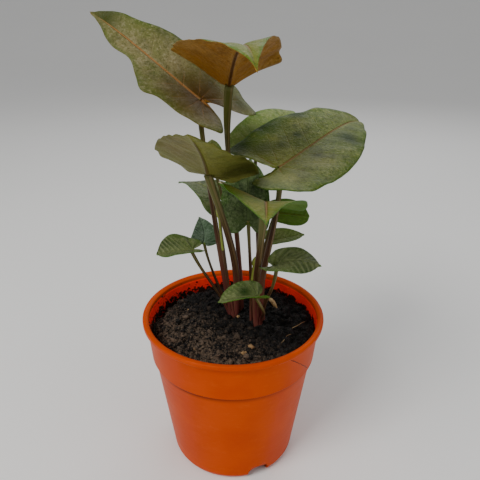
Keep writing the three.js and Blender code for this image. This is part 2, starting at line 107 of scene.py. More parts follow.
def lattice_noise(points: Array, size: float, seed: int) -> Array:
    """Smooth noise: random values on a cubic lattice, blended between its eight nearest points.

    Args:
        points: Places, shape (n, 3).
        size: Distance between lattice points.
        seed: Which lattice.

    Returns:
        Values from -1 to 1, shape (n,).
    """
    cells = 24
    table = np.random.default_rng(seed).uniform(-1, 1, (cells, cells, cells))
    scaled = points / size + 1000
    low = np.floor(scaled).astype(int)
    part = scaled - low
    part = part * part * (3 - 2 * part)
    total = np.zeros(len(points))
    for corner in np.ndindex(2, 2, 2):
        at = (low + corner) % cells
        weight = np.prod(np.where(corner, part, 1 - part), axis=1)
        total += weight * table[at[:, 0], at[:, 1], at[:, 2]]
    return total


def fractal(points: Array, size: float, octaves: int, seed: int) -> Array:
    """Sum of lattice noises, each with half the size and half the height of the one before."""
    return sum(0.5**k * lattice_noise(points, size / 2**k, seed + k) for k in range(octaves))


def grid_faces(rows: int, columns: int, closed: bool = False) -> Array:
    """Quads of a grid of points numbered row by row.

    Args:
        rows: Number of rows of points.
        columns: Number of points in a row.
        closed: Whether each row joins its own start, as round a tube.

    Returns:
        Point numbers, shape (quads, 4).
    """
    row = np.arange(rows - 1)[:, None]
    column = np.arange(columns if closed else columns - 1)[None, :]
    after = (column + 1) % columns
    corners = [row * columns + column, row * columns + after]
    corners += [(row + 1) * columns + after, (row + 1) * columns + column]
    return np.stack(corners, axis=-1).reshape(-1, 4)


def fan(ring: Array, middle: int, outward: bool) -> Array:
    """Triangles that close a ring of points with a middle point.

    Args:
        ring: Numbers of the ring's points in order.
        middle: Number of the middle point.
        outward: Whether the triangles turn the ring's own way.

    Returns:
        Point numbers, shape (n, 3).
    """
    after = np.roll(ring, -1)
    centre = np.full_like(ring, middle)
    first, second = (ring, after) if outward else (after, ring)
    return np.stack([first, second, centre], axis=1)


def tube_faces(rings: int, count: int) -> Array:
    """Triangles of a closed tube, whose points are its rings and then the middles of its two ends.

    Args:
        rings: Number of rings.
        count: Number of points in a ring.

    Returns:
        Point numbers, shape (n, 3).
    """
    quads = grid_faces(rings, count, closed=True)
    ring = np.arange(count)
    middle = rings * count
    ends = [fan(ring, middle, False), fan(ring + middle - count, middle + 1, True)]
    return np.vstack([quads[:, :3], quads[:, [0, 2, 3]], *ends])


def join(parts: list[Mesh]) -> Mesh:
    """Puts parts into one by moving the point numbers of each past those before it.

    Args:
        parts: Points, triangles and the points' values of each part.

    Returns:
        Points, triangles and values of them all.
    """
    points, faces, fields = zip(*parts)
    starts = np.cumsum([0, *(len(part) for part in points)])
    moved = [part + start for part, start in zip(faces, starts)]
    return np.vstack(points), np.vstack(moved), np.vstack(fields)


def around(radius: Array | float, turn: Array, height: Array | float) -> Array:
    """Points round the pot's axis: radius times the cosine and the sine of the turn, and the height.

    Args:
        radius: Distance from the axis.
        turn: Angle from +X in radians.
        height: Height above the ground.

    Returns:
        Points, with x, y and z on the last axis.
    """
    x, y, z = np.broadcast_arrays(radius * np.cos(turn), radius * np.sin(turn), height)
    return np.stack([x, y, z], axis=-1)


def pulled_curve(controls: Array, share: Array) -> tuple[Array, Array]:
    """Points and unit directions of a smooth curve that is pulled towards its control points.

    A point is the sum of the control points, each weighted by its binomial term of the share. A
    direction is the same sum over the legs between the control points, made one long.

    Args:
        controls: Its control points, shape (n, 3).
        share: Shares of the curve.

    Returns:
        Points and directions, one of each for each share.
    """
    s = share[:, None]

    def weighted(values: Array) -> Array:
        """Sum of the values by their binomial terms."""
        last = len(values) - 1
        return sum(math.comb(last, k) * (1 - s) ** (last - k) * s**k * values[k] for k in range(last + 1))

    slope = weighted(np.diff(controls, axis=0))
    return weighted(controls), slope / np.linalg.norm(slope, axis=1, keepdims=True)


def normals_of(points: Array, faces: Array) -> Array:
    """Unit normal of each point: the sum of its triangles' cross products, made one long.

    Args:
        points: Places, shape (n, 3).
        faces: Triangles, shape (m, 3).

    Returns:
        Normals, shape (n, 3).
    """
    a, b, c = (points[faces[:, k]] for k in range(3))
    cross = np.cross(b - a, c - a)
    total = np.zeros_like(points)
    for k in range(3):
        np.add.at(total, faces[:, k], cross)
    return total / np.maximum(np.linalg.norm(total, axis=1, keepdims=True), 1e-12)


def weld(points: Array, faces: Array, fields: Array) -> Mesh:
    """Joins points that lie in one place and drops the triangles that this flattens.

    Args:
        points: Places, shape (n, 3).
        faces: Triangles, shape (m, 3).
        fields: Values that go with the points, shape (n, k).

    Returns:
        The points, triangles and values that are left.
    """
    keys = np.round(points / 1e-4).astype(np.int64)
    _, first, back = np.unique(keys, axis=0, return_index=True, return_inverse=True)
    faces = back.reshape(-1)[faces]
    distinct = np.all(faces != np.roll(faces, -1, axis=1), axis=1)
    return points[first], faces[distinct], fields[first]


def open_edges(faces: Array) -> Array:
    """Edges used by one triangle only.

    Args:
        faces: Triangles, shape (m, 3).

    Returns:
        Point numbers of each edge in its triangle's direction, shape (n, 2).
    """
    edges = np.concatenate([faces[:, [0, 1]], faces[:, [1, 2]], faces[:, [2, 0]]])
    count = int(faces.max()) + 1
    code = edges[:, 0] * count + edges[:, 1]
    back = edges[:, 1] * count + edges[:, 0]
    return edges[np.isin(code, back, invert=True)]


def make_piece(
    name: str,
    points: Array,
    faces: list[Array],
    materials: list[bpy.types.Material],
    fields: dict[str, Array] | None = None,
    choice: Array | None = None,
) -> bpy.types.Object:
    """Mesh object at the origin from arrays.

    Args:
        name: The piece's name.
        points: Places in millimetres, shape (n, 3).
        faces: Arrays of point numbers, one array for each number of corners.
        materials: The piece's materials.
        fields: Named values of the points, each of shape (n, 3).
        choice: Which material each face takes, in the order of faces.

    Returns:
        The new object, smooth shaded, in the scene.
    """
    mesh = bpy.data.meshes.new(name)
    mesh.from_pydata((points * MM).tolist(), [], [face for part in faces for face in part.tolist()])
    for key, values in (fields or {}).items():
        layer = mesh.attributes.new(key, "FLOAT_VECTOR", "POINT")
        layer.data.foreach_set("vector", np.ascontiguousarray(values, dtype=np.float32).ravel())
    for material in materials:
        mesh.materials.append(material)
    if choice is not None:
        mesh.polygons.foreach_set("material_index", choice.astype(np.int32))
    mesh.polygons.foreach_set("use_smooth", np.ones(len(mesh.polygons), dtype=bool))
    mesh.update()
    piece = bpy.data.objects.new(name, mesh)
    bpy.context.scene.collection.objects.link(piece)
    return piece


def inside_box(points: Array) -> Array:
    """Points in millimetres held a hair inside the frame's box."""
    low, high = (np.array(corner) / MM for corner in cad_box)
    return np.clip(points, low + 0.02, high - 0.02)


def settle(piece: bpy.types.Object, slot: str, *nodes: str) -> None:
    """Ties a piece to the frame and reports it.

    Args:
        piece: The finished piece.
        slot: The record's material slot; not used.
        nodes: The CAD nodes that it stands for.
    """
    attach(piece, "root")
    if nodes:
        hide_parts(*nodes)
    log.info("%s: %d faces", piece.name, len(piece.data.polygons))


class Wire:
    """A shader socket that adds its Math nodes when it is used in arithmetic."""

    def __init__(self, sheet: "Sheet", socket: bpy.types.NodeSocket) -> None:
        """Keeps the socket and the sheet that it is drawn on."""
        self.sheet = sheet
        self.socket = socket

    def __add__(self, other: "Wire | float") -> "Wire":
        """Sum."""
        return self.sheet.maths("ADD", self, other)

    def __sub__(self, other: "Wire | float") -> "Wire":
        """Difference."""
        return self.sheet.maths("SUBTRACT", self, other)

    def __rsub__(self, other: float) -> "Wire":
        """Difference from a number."""
        return self.sheet.maths("SUBTRACT", other, self)

    def __mul__(self, other: "Wire | float") -> "Wire":
        """Product."""
        return self.sheet.maths("MULTIPLY", self, other)

    def __truediv__(self, other: "Wire | float") -> "Wire":
        """Quotient."""
        return self.sheet.maths("DIVIDE", self, other)

    __radd__ = __add__
    __rmul__ = __mul__


class Sheet:
    """The node tree of one material, written as expressions on wires."""

    def __init__(self, name: str) -> None:
        """Starts an empty material.

        Args:
            name: The material's name.
        """
        self.material = bpy.data.materials.new(name)
        self.material.use_nodes = True
        self.tree = self.material.node_tree
        self.tree.nodes.clear()

    def add(
        self,
        kind: str,
        settings: dict[str, object],
        inputs: dict[int | str, "Wire | float | Colour"],
    ) -> bpy.types.Node:
        """Adds any node.

        Args:
            kind: The node's type name.
            settings: Its properties, set before its sockets.
            inputs: Values or wires by socket name or number.

        Returns:
            The node.
        """
        made = self.tree.nodes.new(kind)
        for key, value in settings.items():
            setattr(made, key, value)
        for key, value in inputs.items():
            socket = made.inputs[key]
            if isinstance(value, Wire):
                self.tree.links.new(value.socket, socket)
            elif isinstance(value, tuple) and len(socket.default_value) == 4:
                socket.default_value = (*value, 1.0)
            else:
                socket.default_value = value
        return made

    def node(
        self,
        kind: str,
        settings: dict[str, object],
        inputs: dict[int | str, "Wire | float | Colour"],
        output: int | str = 0,
    ) -> Wire:
        """Adds any node and gives the wire from the named output."""
        return Wire(self, self.add(kind, settings, inputs).outputs[output])

    def maths(self, operation: str, *values: "Wire | float") -> Wire:
        """Math node of that operation on numbers and wires."""
        return self.node("ShaderNodeMath", {"operation": operation}, dict(enumerate(values)))

    def blend(self, factor: "Wire | float", low: "Wire | Colour", high: "Wire | Colour") -> Wire:
        """Colour mix from low, at factor 0, to high, at factor 1."""
        inputs = {0: factor, 6: low, 7: high}
        return self.node("ShaderNodeMix", {"data_type": "RGBA"}, inputs, 2)

    def coats(self, ground: "Wire | Colour", *coats: "tuple[Wire | float, Wire | Colour]") -> Wire:
        """Lays coats of colour one on the other.

        Args:
            ground: The colour under them.
            coats: How far each coat covers, from 0 to 1, and its colour, from the lowest up.

        Returns:
            The colour on top.
        """
        for cover, colour in coats:
            ground = self.blend(cover, ground, colour)
        return ground

    def rise(self, value: Wire, low: float, high: float) -> Wire:
        """Smooth step from 0, at low, to 1, at high."""
        settings = {"interpolation_type": "SMOOTHSTEP"}
        return self.node("ShaderNodeMapRange", settings, {"Value": value, 1: low, 2: high})

    def fall(self, value: Wire, low: float, high: float) -> Wire:
        """Smooth step from 1, at low, to 0, at high."""
        return 1 - self.rise(value, low, high)

    def band(self, value: Wire, start: float, full: float, thin: float, end: float) -> Wire:
        """Rise from 0, at start, to 1, at full, and fall from 1, at thin, to 0, at end."""
        return self.rise(value, start, full) * self.fall(value, thin, end)

    def place(self) -> Wire:
        """The point's place in the object, in metres."""
        return self.node("ShaderNodeTexCoord", {}, {}, "Object")

    def parts(self, vector: Wire) -> tuple[Wire, Wire, Wire]:
        """The three numbers of a vector."""
        outputs = self.add("ShaderNodeSeparateXYZ", {}, {0: vector}).outputs
        return Wire(self, outputs[0]), Wire(self, outputs[1]), Wire(self, outputs[2])

    def field(self, name: str) -> tuple[Wire, Wire, Wire]:
        """The three numbers of a value kept on the mesh's points."""
        return self.parts(self.node("ShaderNodeAttribute", {"attribute_name": name}, {}, "Vector"))

    def noise(self, size: float, detail: float, roughness: float) -> Wire:
        """Fractal noise of the point's place, from 0 to 1.

        Args:
            size: Size of its largest features in millimetres.
            detail: Number of finer layers.
            roughness: Strength of each finer layer.

        Returns:
            The noise's value.
        """
        scale = 1 / (size * MM)
        inputs = {"Vector": self.place(), "Scale": scale, "Detail": detail, "Roughness": roughness}
        return self.node("ShaderNodeTexNoise", {}, inputs)

    def streaks(self, stretch: "tuple[Wire, Wire, Wire]", scale: float) -> Wire:
        """Fractal noise of any three numbers, from 0 to 1.

        Args:
            stretch: The three numbers, larger where the noise is to be finer.
            scale: How much finer it is in all.

        Returns:
            The noise's value.
        """
        place = self.node("ShaderNodeCombineXYZ", {}, dict(enumerate(stretch)))
        return self.node("ShaderNodeTexNoise", {}, {"Vector": place, "Scale": scale, "Detail": 4.0})

    def cracks(self, size: float) -> Wire:
        """Distance to the borders of random cells of that size in millimetres."""
        inputs = {"Vector": self.place(), "Scale": 1 / (size * MM)}
        return self.node("ShaderNodeTexVoronoi", {"feature": "DISTANCE_TO_EDGE"}, inputs)

    def finish(
        self,
        colour: Wire,
        roughness: "Wire | float",
        height: Wire,
        relief: float,
        **constants: "Wire | float",
    ) -> bpy.types.Material:
        """Ends the material in a Principled surface.

        Args:
            colour: Base colour.
            roughness: Roughness.
            height: Relief from 0 to 1.
            relief: Height of the relief in millimetres.
            constants: Other sockets, with underscores for the spaces in their names.

        Returns:
            The finished material.
        """
        bump = {"Height": height, "Distance": relief * MM, "Strength": 1.0}
        inputs = {"Base Color": colour, "Roughness": roughness}
        inputs["Normal"] = self.node("ShaderNodeBump", {}, bump)
        inputs |= {key.replace("_", " "): value for key, value in constants.items()}
        surface = self.node("ShaderNodeBsdfPrincipled", {}, inputs)
        self.add("ShaderNodeOutputMaterial", {}, {"Surface": surface})
        return self.material


@dataclass(frozen=True)
class LeafFinish:
    """Skin of one face of a leaf: colours, and the strength that each is laid on with.

    Attributes:
        warm, warmth: The slow blotches and the band along the midrib.
        deep, depth: The dark patches between the side veins; deep is also the colour of the painted shade.
        rim, rimmed: The colour towards the margin.
        pale, speckled: The fine speckle.
        vein, laterals: The veins, and the strength of the side ones away from the joint.
        blush, blushed: The colour round the joint.
        pleat_shading: Strength of the painted shade in the folds between the side veins and of the painted
            sheen on their ridges.
        raised: 1 where the veins stand up, -1 where they are sunk.
    """

    name: str
    base: Colour
    warm: Colour
    deep: Colour
    rim: Colour
    pale: Colour
    vein: Colour
    blush: Colour
    warmth: float = 0.6
    depth: float = 0.7
    rimmed: float = 0.5
    speckled: float = 0.4
    laterals: float = 0.15
    blushed: float = 0.5
    pleat_shading: float = 0.0
    roughness: float = 0.4
    raised: float = -1.0
    dried: Colour = shade(206, 194, 160)

    def material(self) -> bpy.types.Material:
        """Builds the skin once and gives it again after that.

        The mesh keeps for each point its distance from the midrib, its place between the side veins
        and its share of the way to the margin ("vein"), its share of the length, the width of a place
        and its dryness ("spot"), and its nearness to the joint, its marks of painted shade and its warm
        marks ("joint").
        Veins are lines where the place is a whole number. Blotches, patches and speckle are noise on
        the point's place.

        Returns:
            The material.
        """
        known = bpy.data.materials.get(self.name)
        if known:
            return known
        sheet = Sheet(self.name)
        off, phase, edge = sheet.field("vein")
        share, unit, dry = sheet.field("spot")
        near, dark, warm = sheet.field("joint")
        folded = sheet.maths("PINGPONG", phase, 0.5)
        broad, slow = sheet.noise(30.0, 2.0, 0.5), sheet.noise(13.0, 3.0, 0.55)
        middle, small = sheet.noise(5.0, 4.0, 0.7), sheet.noise(1.8, 3.0, 0.65)
        fine = sheet.noise(0.7, 2.0, 0.6)
        blotch = sheet.rise(broad * 0.6 + middle * 0.4, 0.42, 0.6) * self.warmth
        along_rib = sheet.fall(off, 0.5, 7.0) * self.warmth * 0.5
        warmed = sheet.maths("MAXIMUM", sheet.maths("MAXIMUM", blotch, along_rib), warm * 0.95)
        patch = sheet.rise(slow * 1.1 + (middle - 0.5) * 0.7 + folded * 0.1 - edge * 0.1, 0.42, 0.78)
        # Painted shade: the dark marks kept on the mesh are laid on in the deep colour, together with the
        # dark patches.
        shaded = sheet.maths("MAXIMUM", patch * (self.depth * sheet.rise(off, 0.8, 4.0)), dark)
        mottle = sheet.rise(middle * 0.6 + small * 0.4 - dark * 0.08, 0.5, 0.58)
        grainy = small * 0.6 + fine * 0.4
        waver = folded + (middle - 0.5) * 0.5
        rib = self.pleat_shading * sheet.rise(slow, 0.4, 0.62)
        midrib = sheet.fall(off / (1.35 - share * 0.9), 0.35, 1.0) * sheet.fall(share, 0.72, 0.97)
        line = sheet.fall(folded * unit, 0.1, 0.6) * sheet.fall(edge, 0.5, 0.9)
        line = line * sheet.rise(slow, 0.3, 0.6)
        traced = near * 0.3 * sheet.rise(middle, 0.35, 0.6) + self.laterals
        net = sheet.fall(sheet.cracks(1.9), 0.02, 0.16)
        colour = sheet.coats(
            self.base,
            (warmed, self.warm),
            (sheet.rise(edge + (middle - 0.5) * 0.4, 0.6, 1.02) * self.rimmed, self.rim),
            (mottle * (self.speckled * 0.7), self.pale),
            (sheet.rise(grainy, 0.54, 0.62) * self.speckled * 1.3, self.pale),
            (sheet.fall(grainy, 0.38, 0.48) * self.speckled * 1.4, self.deep),
            (shaded * sheet.rise(middle + dark * 0.25, 0.2, 0.62), self.deep),
            # Painted shade in the folds between the side veins, and a painted sheen on the ridges between
            # them.
            (sheet.fall(waver, 0.0, 0.24) * rib, self.deep),
            (sheet.rise(waver, 0.24, 0.5) * rib, self.pale),
            (near * sheet.rise(middle + near * 0.6, 0.3, 0.8) * self.blushed, self.blush),
            (net * (self.laterals * 0.5), self.vein),
            (line * sheet.maths("MINIMUM", traced, 1.0), self.vein),
            (midrib * 0.75, self.vein),
            (sheet.rise(edge, 0.965, 1.0) * 0.55, self.rim),
            (sheet.rise(dry + (fine - 0.5) * 0.3, 0.42, 0.6), self.dried),
        )
        gloss = self.roughness + (middle - 0.5) * 0.24 + net * 0.05 + dry * 0.3
        height = (midrib + line * 0.4 + net * 0.1) * self.raised + fine * 0.2 + small * 0.7 + middle * 1.3
        return sheet.finish(colour, gloss, height, 0.45, Specular_IOR_Level=0.08)


GREEN_UPPER = LeafFinish(
    "green_upper", base=shade(94, 110, 40), warm=shade(128, 132, 68), deep=shade(32, 54, 0),
    rim=shade(50, 90, 8), pale=shade(146, 150, 90), vein=shade(120, 80, 34), blush=shade(104, 98, 38),
    warmth=0.6, depth=0.6, speckled=0.5, laterals=0.06, blushed=0.4, roughness=0.32,
)
GREY_UPPER = LeafFinish(
    "grey_upper", base=shade(98, 116, 40), warm=shade(120, 116, 52), deep=shade(60, 86, 16),
    rim=shade(60, 104, 8), pale=shade(130, 132, 68), vein=shade(130, 92, 52), blush=shade(130, 74, 40),
    depth=0.5, rimmed=0.65, blushed=0.45, laterals=0.06,
)
GREEN_UNDER = LeafFinish(
    "green_under", base=shade(78, 118, 42), warm=shade(94, 120, 50), deep=shade(46, 80, 26),
    rim=shade(66, 108, 30), pale=shade(98, 120, 52), vein=shade(84, 96, 32), blush=shade(82, 98, 30),
    depth=0.5, speckled=0.25, laterals=0.2, roughness=0.5, raised=1.0,
)
COPPER_UPPER = LeafFinish(
    "copper_upper", base=shade(104, 106, 58), warm=shade(130, 120, 84), deep=shade(58, 66, 22),
    rim=shade(62, 92, 20), pale=shade(154, 148, 116), vein=shade(152, 104, 54), blush=shade(64, 42, 0),
    warmth=0.7, depth=0.6, speckled=0.42, blushed=1.0, laterals=0.04, roughness=0.32,
)
# Partly painted light: the underside's bright copper is its own colour lightened for light that comes
# through the thin blade.
COPPER_UNDER = LeafFinish(
    "copper_under", base=shade(154, 102, 26), warm=shade(164, 124, 58), deep=shade(108, 68, 14),
    rim=shade(116, 94, 34), pale=shade(176, 134, 74), vein=shade(62, 26, 22), blush=shade(160, 102, 26),
    warmth=0.6, depth=0.7, rimmed=0.35, speckled=0.6, laterals=0.0, roughness=0.5, raised=1.0,
)
TAUPE_UNDER = LeafFinish(
    "taupe_under", base=shade(118, 122, 52), warm=shade(106, 94, 44), deep=shade(78, 82, 30),
    rim=shade(88, 92, 30), pale=shade(134, 124, 70), vein=shade(78, 58, 26), blush=shade(96, 90, 32),
    warmth=0.2, depth=0.5, rimmed=0.3, speckled=0.35, laterals=0.1, roughness=0.5, raised=1.0,
)
DARK_UPPER = LeafFinish(
    "dark_upper", base=shade(56, 76, 38), warm=shade(92, 102, 68), deep=shade(10, 18, 6),
    rim=shade(56, 94, 24), pale=shade(112, 124, 88), vein=shade(68, 84, 46), blush=shade(48, 62, 24),
    warmth=0.6, speckled=0.45, laterals=0.15, roughness=0.3,
)
BLUISH_UPPER = LeafFinish(
    "bluish_upper", base=shade(60, 84, 58), warm=shade(104, 120, 98), deep=shade(16, 34, 22),
    rim=shade(48, 84, 40), pale=shade(120, 136, 118), vein=shade(88, 108, 84), blush=shade(46, 66, 42),
    speckled=0.4, laterals=0.2, pleat_shading=0.45, roughness=0.26,
)
YOUNG_UPPER = LeafFinish(
    "young_upper", base=shade(88, 102, 54), warm=shade(120, 124, 86), deep=shade(30, 52, 20),
    rim=shade(52, 90, 18), pale=shade(142, 146, 106), vein=shade(100, 110, 64), blush=shade(70, 84, 34),
    warmth=0.5, depth=0.7, speckled=0.3, laterals=0.1, pleat_shading=0.4, roughness=0.28,
)
LIGHT_UPPER = LeafFinish(
    "light_upper", base=shade(112, 132, 62), warm=shade(142, 148, 92), deep=shade(64, 92, 26),
    rim=shade(80, 126, 28), pale=shade(156, 164, 108), vein=shade(118, 128, 66), blush=shade(100, 112, 44),
    warmth=0.6, depth=0.5, laterals=0.1, pleat_shading=0.3, roughness=0.34,
)


class Mark(Enum):
    """Kinds of marks on a blade, a dried place, a place of painted shade and a warm one, with their order.
    """

    DRY = 0
    DARK = 1
    WARM = 2


@dataclass(frozen=True)
class StalkRoute:
    """Where a leaf's stalk stands and how it bows, in millimetres.

    Attributes:
        side: The shoot that it belongs to.
        foot: Offset of its foot from the middle of the shoot.
        radii: Its radius at the foot and at the blade.
        low: Sideways pull on the lower part of its curve.
        high: Sideways pull on the upper part.
    """

    side: Side
    foot: Pair
    radii: Pair
    low: Pair
    high: Pair


@dataclass(frozen=True)
class LeafShape:
    """Outline and bend of one leaf. Pairs are stalk end and tip, or left half and right half.

    Attributes:
        joint: Where the stalk meets the blade, in millimetres.
        length: From there to the tip, in millimetres.
        heading: Compass direction of the midrib, in degrees.
        rise: Climb of the midrib, in degrees.
        stalk: The leaf's stalk.
        droop: How late the climb changes.
        lobe_rise: Climb of the lobes, in degrees.
        tip_fold: How far the halves are raised at the tip, in degrees.
        heart: 0 for an arrow outline, 1 for a heart.
        roll: Turn about the midrib, in degrees.
        fold: How far each half is raised, in degrees.
        curl: Bend of each half towards its margin, in degrees.
        lobe_fold: What the lobes add to the fold, in degrees.
        width: Width of each half.
        lobes: Length of each lobe.
        sinus: How open the cleft between the lobes is.
        swells: Bulges of the margin, dents where negative: half, share of the outline from the tip,
            its spread, and the reach in blade lengths.
    """

    joint: Triple
    length: float
    heading: Pair
    rise: Pair
    stalk: StalkRoute
    droop: float = 1.0
    lobe_rise: float = 0.0
    tip_fold: float = 15.0
    heart: float = 0.4
    roll: Pair = (0.0, 0.0)
    fold: Pair = (15.0, 15.0)
    curl: Pair = (0.0, 0.0)
    lobe_fold: Pair = (0.0, 0.0)
    width: Pair = (1.0, 1.0)
    lobes: Pair = (1.0, 1.0)
    sinus: Pair = (1.0, 1.0)
    swells: tuple[tuple[int, float, float, float], ...] = ()


@dataclass(frozen=True)
class LeafLook:
    """How one leaf is dressed.

    Attributes:
        upper: Skin of the upper face.
        under: Skin of the lower face.
        slot: The record's material slot.
        marks: Marks, each with its kind, half, place across and along in blade lengths, and radius.
        frill: Height of the fine waves of the margin, in millimetres.
        pleats: How high the blade stands between its side veins, as a share of the usual.
        stout: How much thicker the stalk is than its core.
        flare: How much thicker still it is under the blade.
    """

    upper: LeafFinish
    under: LeafFinish
    slot: str
    marks: tuple[tuple[Mark, int, float, float, float], ...] = ()
    frill: float = 0.4
    pleats: float = 0.5
    stout: float = 1.0
    flare: float = 1.25


LEAVES: dict[str, LeafShape] = {
    "top_left": LeafShape(joint=(-19, 8, 244), length=89, heading=(164, 142), rise=(36, 20), droop=2.25,
        lobe_rise=-3, tip_fold=8, heart=0.1, roll=(16, 42), fold=(8, 12), curl=(-22, -15),
        lobe_fold=(9, -9), width=(0.72, 1.1), lobes=(0.8, 1),
        swells=((0, 0.1, 0.05, -0.012), (0, 0.3, 0.05, -0.05), (0, 0.425, 0.04, 0.055),
                (0, 0.9, 0.07, -0.04), (1, 0.2, 0.04, -0.02)),
        stalk=StalkRoute(Side.LEFT, (-3.5, -1.5), (1.9, 1.2), (-7, -6), (4, -5))),
    "top_front": LeafShape(joint=(-2, -19, 255), length=94, heading=(-86, -80), rise=(30, -36),
        droop=2.4, lobe_rise=-48, tip_fold=-4, heart=-0.15, roll=(0, -6), fold=(44, 47), curl=(-20, -18),
        lobe_fold=(-8, 0), width=(1.07, 1.17), lobes=(0.95, 0.8),
        stalk=StalkRoute(Side.LEFT, (2, 1), (2.5, 1.8), (3, 14), (-6, 24))),
    "large_right": LeafShape(joint=(26, -11, 209), length=102, heading=(41, 60), rise=(16, -18),
        droop=2.3, lobe_rise=-21, tip_fold=6, heart=0.1, roll=(1, -32), fold=(16, 16), curl=(-17, -36),
        lobe_fold=(-6, 10), width=(1.24, 1.06), lobes=(0.15, 1.15), sinus=(0.15, 0.4),
        swells=((0, 0.2, 0.03, 0.014), (0, 0.28, 0.03, -0.014), (0, 0.38, 0.05, 0.012),
                (0, 0.5, 0.04, -0.016)),
        stalk=StalkRoute(Side.RIGHT, (3, 1), (2, 1.2), (-8, -5), (2, -5))),
    "front_centre": LeafShape(joint=(16, -53, 203.5), length=57, heading=(-92, -94), rise=(24, -3),
        droop=1.1, lobe_rise=3, tip_fold=5, heart=-0.15, roll=(11, -6), fold=(12, 14),
        lobe_fold=(-9, -4), width=(1.15, 1.35), lobes=(1.05, 0.9),
        stalk=StalkRoute(Side.RIGHT, (-1, -4), (2.2, 1.5), (-3, 0), (-2, 0))),
    "left_middle": LeafShape(joint=(-13, -34, 212), length=80, heading=(-91, -95), rise=(34, 22),
        lobe_rise=-12, tip_fold=0, heart=0.05, roll=(12, 16), fold=(5, 15), curl=(25, -5),
        lobe_fold=(6, 5), width=(1, 1.15), lobes=(1.05, 0.95),
        stalk=StalkRoute(Side.LEFT, (-2.5, -4), (2.3, 1.6), (6, 0), (12, 0))),
    "under_right": LeafShape(joint=(26, 3, 176.5), length=23, heading=(-20, -40), rise=(3, 6),
        tip_fold=15, heart=1.2, roll=(60, 72), fold=(10, 14), curl=(-25, 0), lobes=(0.5, 0.6),
        stalk=StalkRoute(Side.RIGHT, (1.5, 3.5), (1.3, 0.9), (-3, 0), (-9, 0))),
    "centre_shade": LeafShape(joint=(9, -12, 176), length=37, heading=(96, 74), rise=(76, 74),
        tip_fold=14, heart=0.9, roll=(16, 0), fold=(10, 16), curl=(-10, 0), width=(1.1, 0.95),
        lobes=(0.6, 0.6), stalk=StalkRoute(Side.RIGHT, (-4.5, 1), (1.4, 0.9), (0, 0), (1, 0))),
    "left_behind": LeafShape(joint=(-10, 22, 179), length=41, heading=(130, 141), rise=(26, -22),
        tip_fold=-4, heart=0.4, roll=(4, -18), fold=(12, 16), lobe_fold=(-20, 0),
        stalk=StalkRoute(Side.LEFT, (-3, 4), (1.3, 0.9), (-4, 0), (3, 0))),
    "low_left": LeafShape(joint=(-25, -9, 156.5), length=22, heading=(192, 176), rise=(0, -12),
        tip_fold=30, heart=1.2, roll=(0, 22), fold=(15, 13), width=(1.05, 1.35),
        stalk=StalkRoute(Side.LEFT, (-3, -2), (1.3, 0.9), (-7, 0), (9, 0))),
    "curled_left": LeafShape(joint=(-19, 13, 150.5), length=27, heading=(82, 120), rise=(8, 31),
        lobe_rise=-20, tip_fold=17, roll=(-5, 0), fold=(22, 18), lobe_fold=(6, 6), lobes=(0.8, 0.8),
        stalk=StalkRoute(Side.LEFT, (-3, 1.5), (1.2, 0.8), (-7, 0), (3, 0))),
    "low_right": LeafShape(joint=(24, -34, 158), length=28, heading=(-25, -15), rise=(37, -24),
        droop=1.25, lobe_rise=-20, tip_fold=-25, heart=0.9, roll=(-3, -10), fold=(27, 26), curl=(8, -15),
        lobe_fold=(0, 20), width=(1.07, 1.03), lobes=(0.66, 0.8),
        stalk=StalkRoute(Side.RIGHT, (4, -3), (1.3, 0.9), (-5, 0), (-1, 0))),
    "mid_right": LeafShape(joint=(24, 12, 152.5), length=23, heading=(0, 8), rise=(16, 5), tip_fold=2,
        heart=0.65, roll=(-8, -12), fold=(24, 20), curl=(10, -6), lobes=(0.55, 0.67),
        stalk=StalkRoute(Side.RIGHT, (4, 2), (1.2, 0.8), (-3, 0), (-4, 0))),
    "front_low": LeafShape(joint=(14, -39, 140.5), length=24, heading=(205, 185), rise=(20, -18),
        tip_fold=6, heart=0.65, fold=(26, 28), curl=(14, 14), width=(1, 1.2), lobes=(0.6, 0.7),
        stalk=StalkRoute(Side.RIGHT, (1.5, -5), (1.1, 0.8), (-2, 2), (10, 0))),
    "back_right": LeafShape(joint=(15, 45, 209), length=50, heading=(50, 65), rise=(30, 5), lobe_rise=-7,
        tip_fold=17, heart=0.6, roll=(-14, 0), fold=(15, 18),
        stalk=StalkRoute(Side.RIGHT, (-2, 4), (1.5, 1), (5, 6), (-2, -4))),
    "back_left": LeafShape(joint=(-12, 14, 203), length=20, heading=(95, 95), rise=(50, 30), heart=0.5,
        stalk=StalkRoute(Side.LEFT, (-1, 0), (1.2, 0.8), (3, -2), (9, -2))),
}

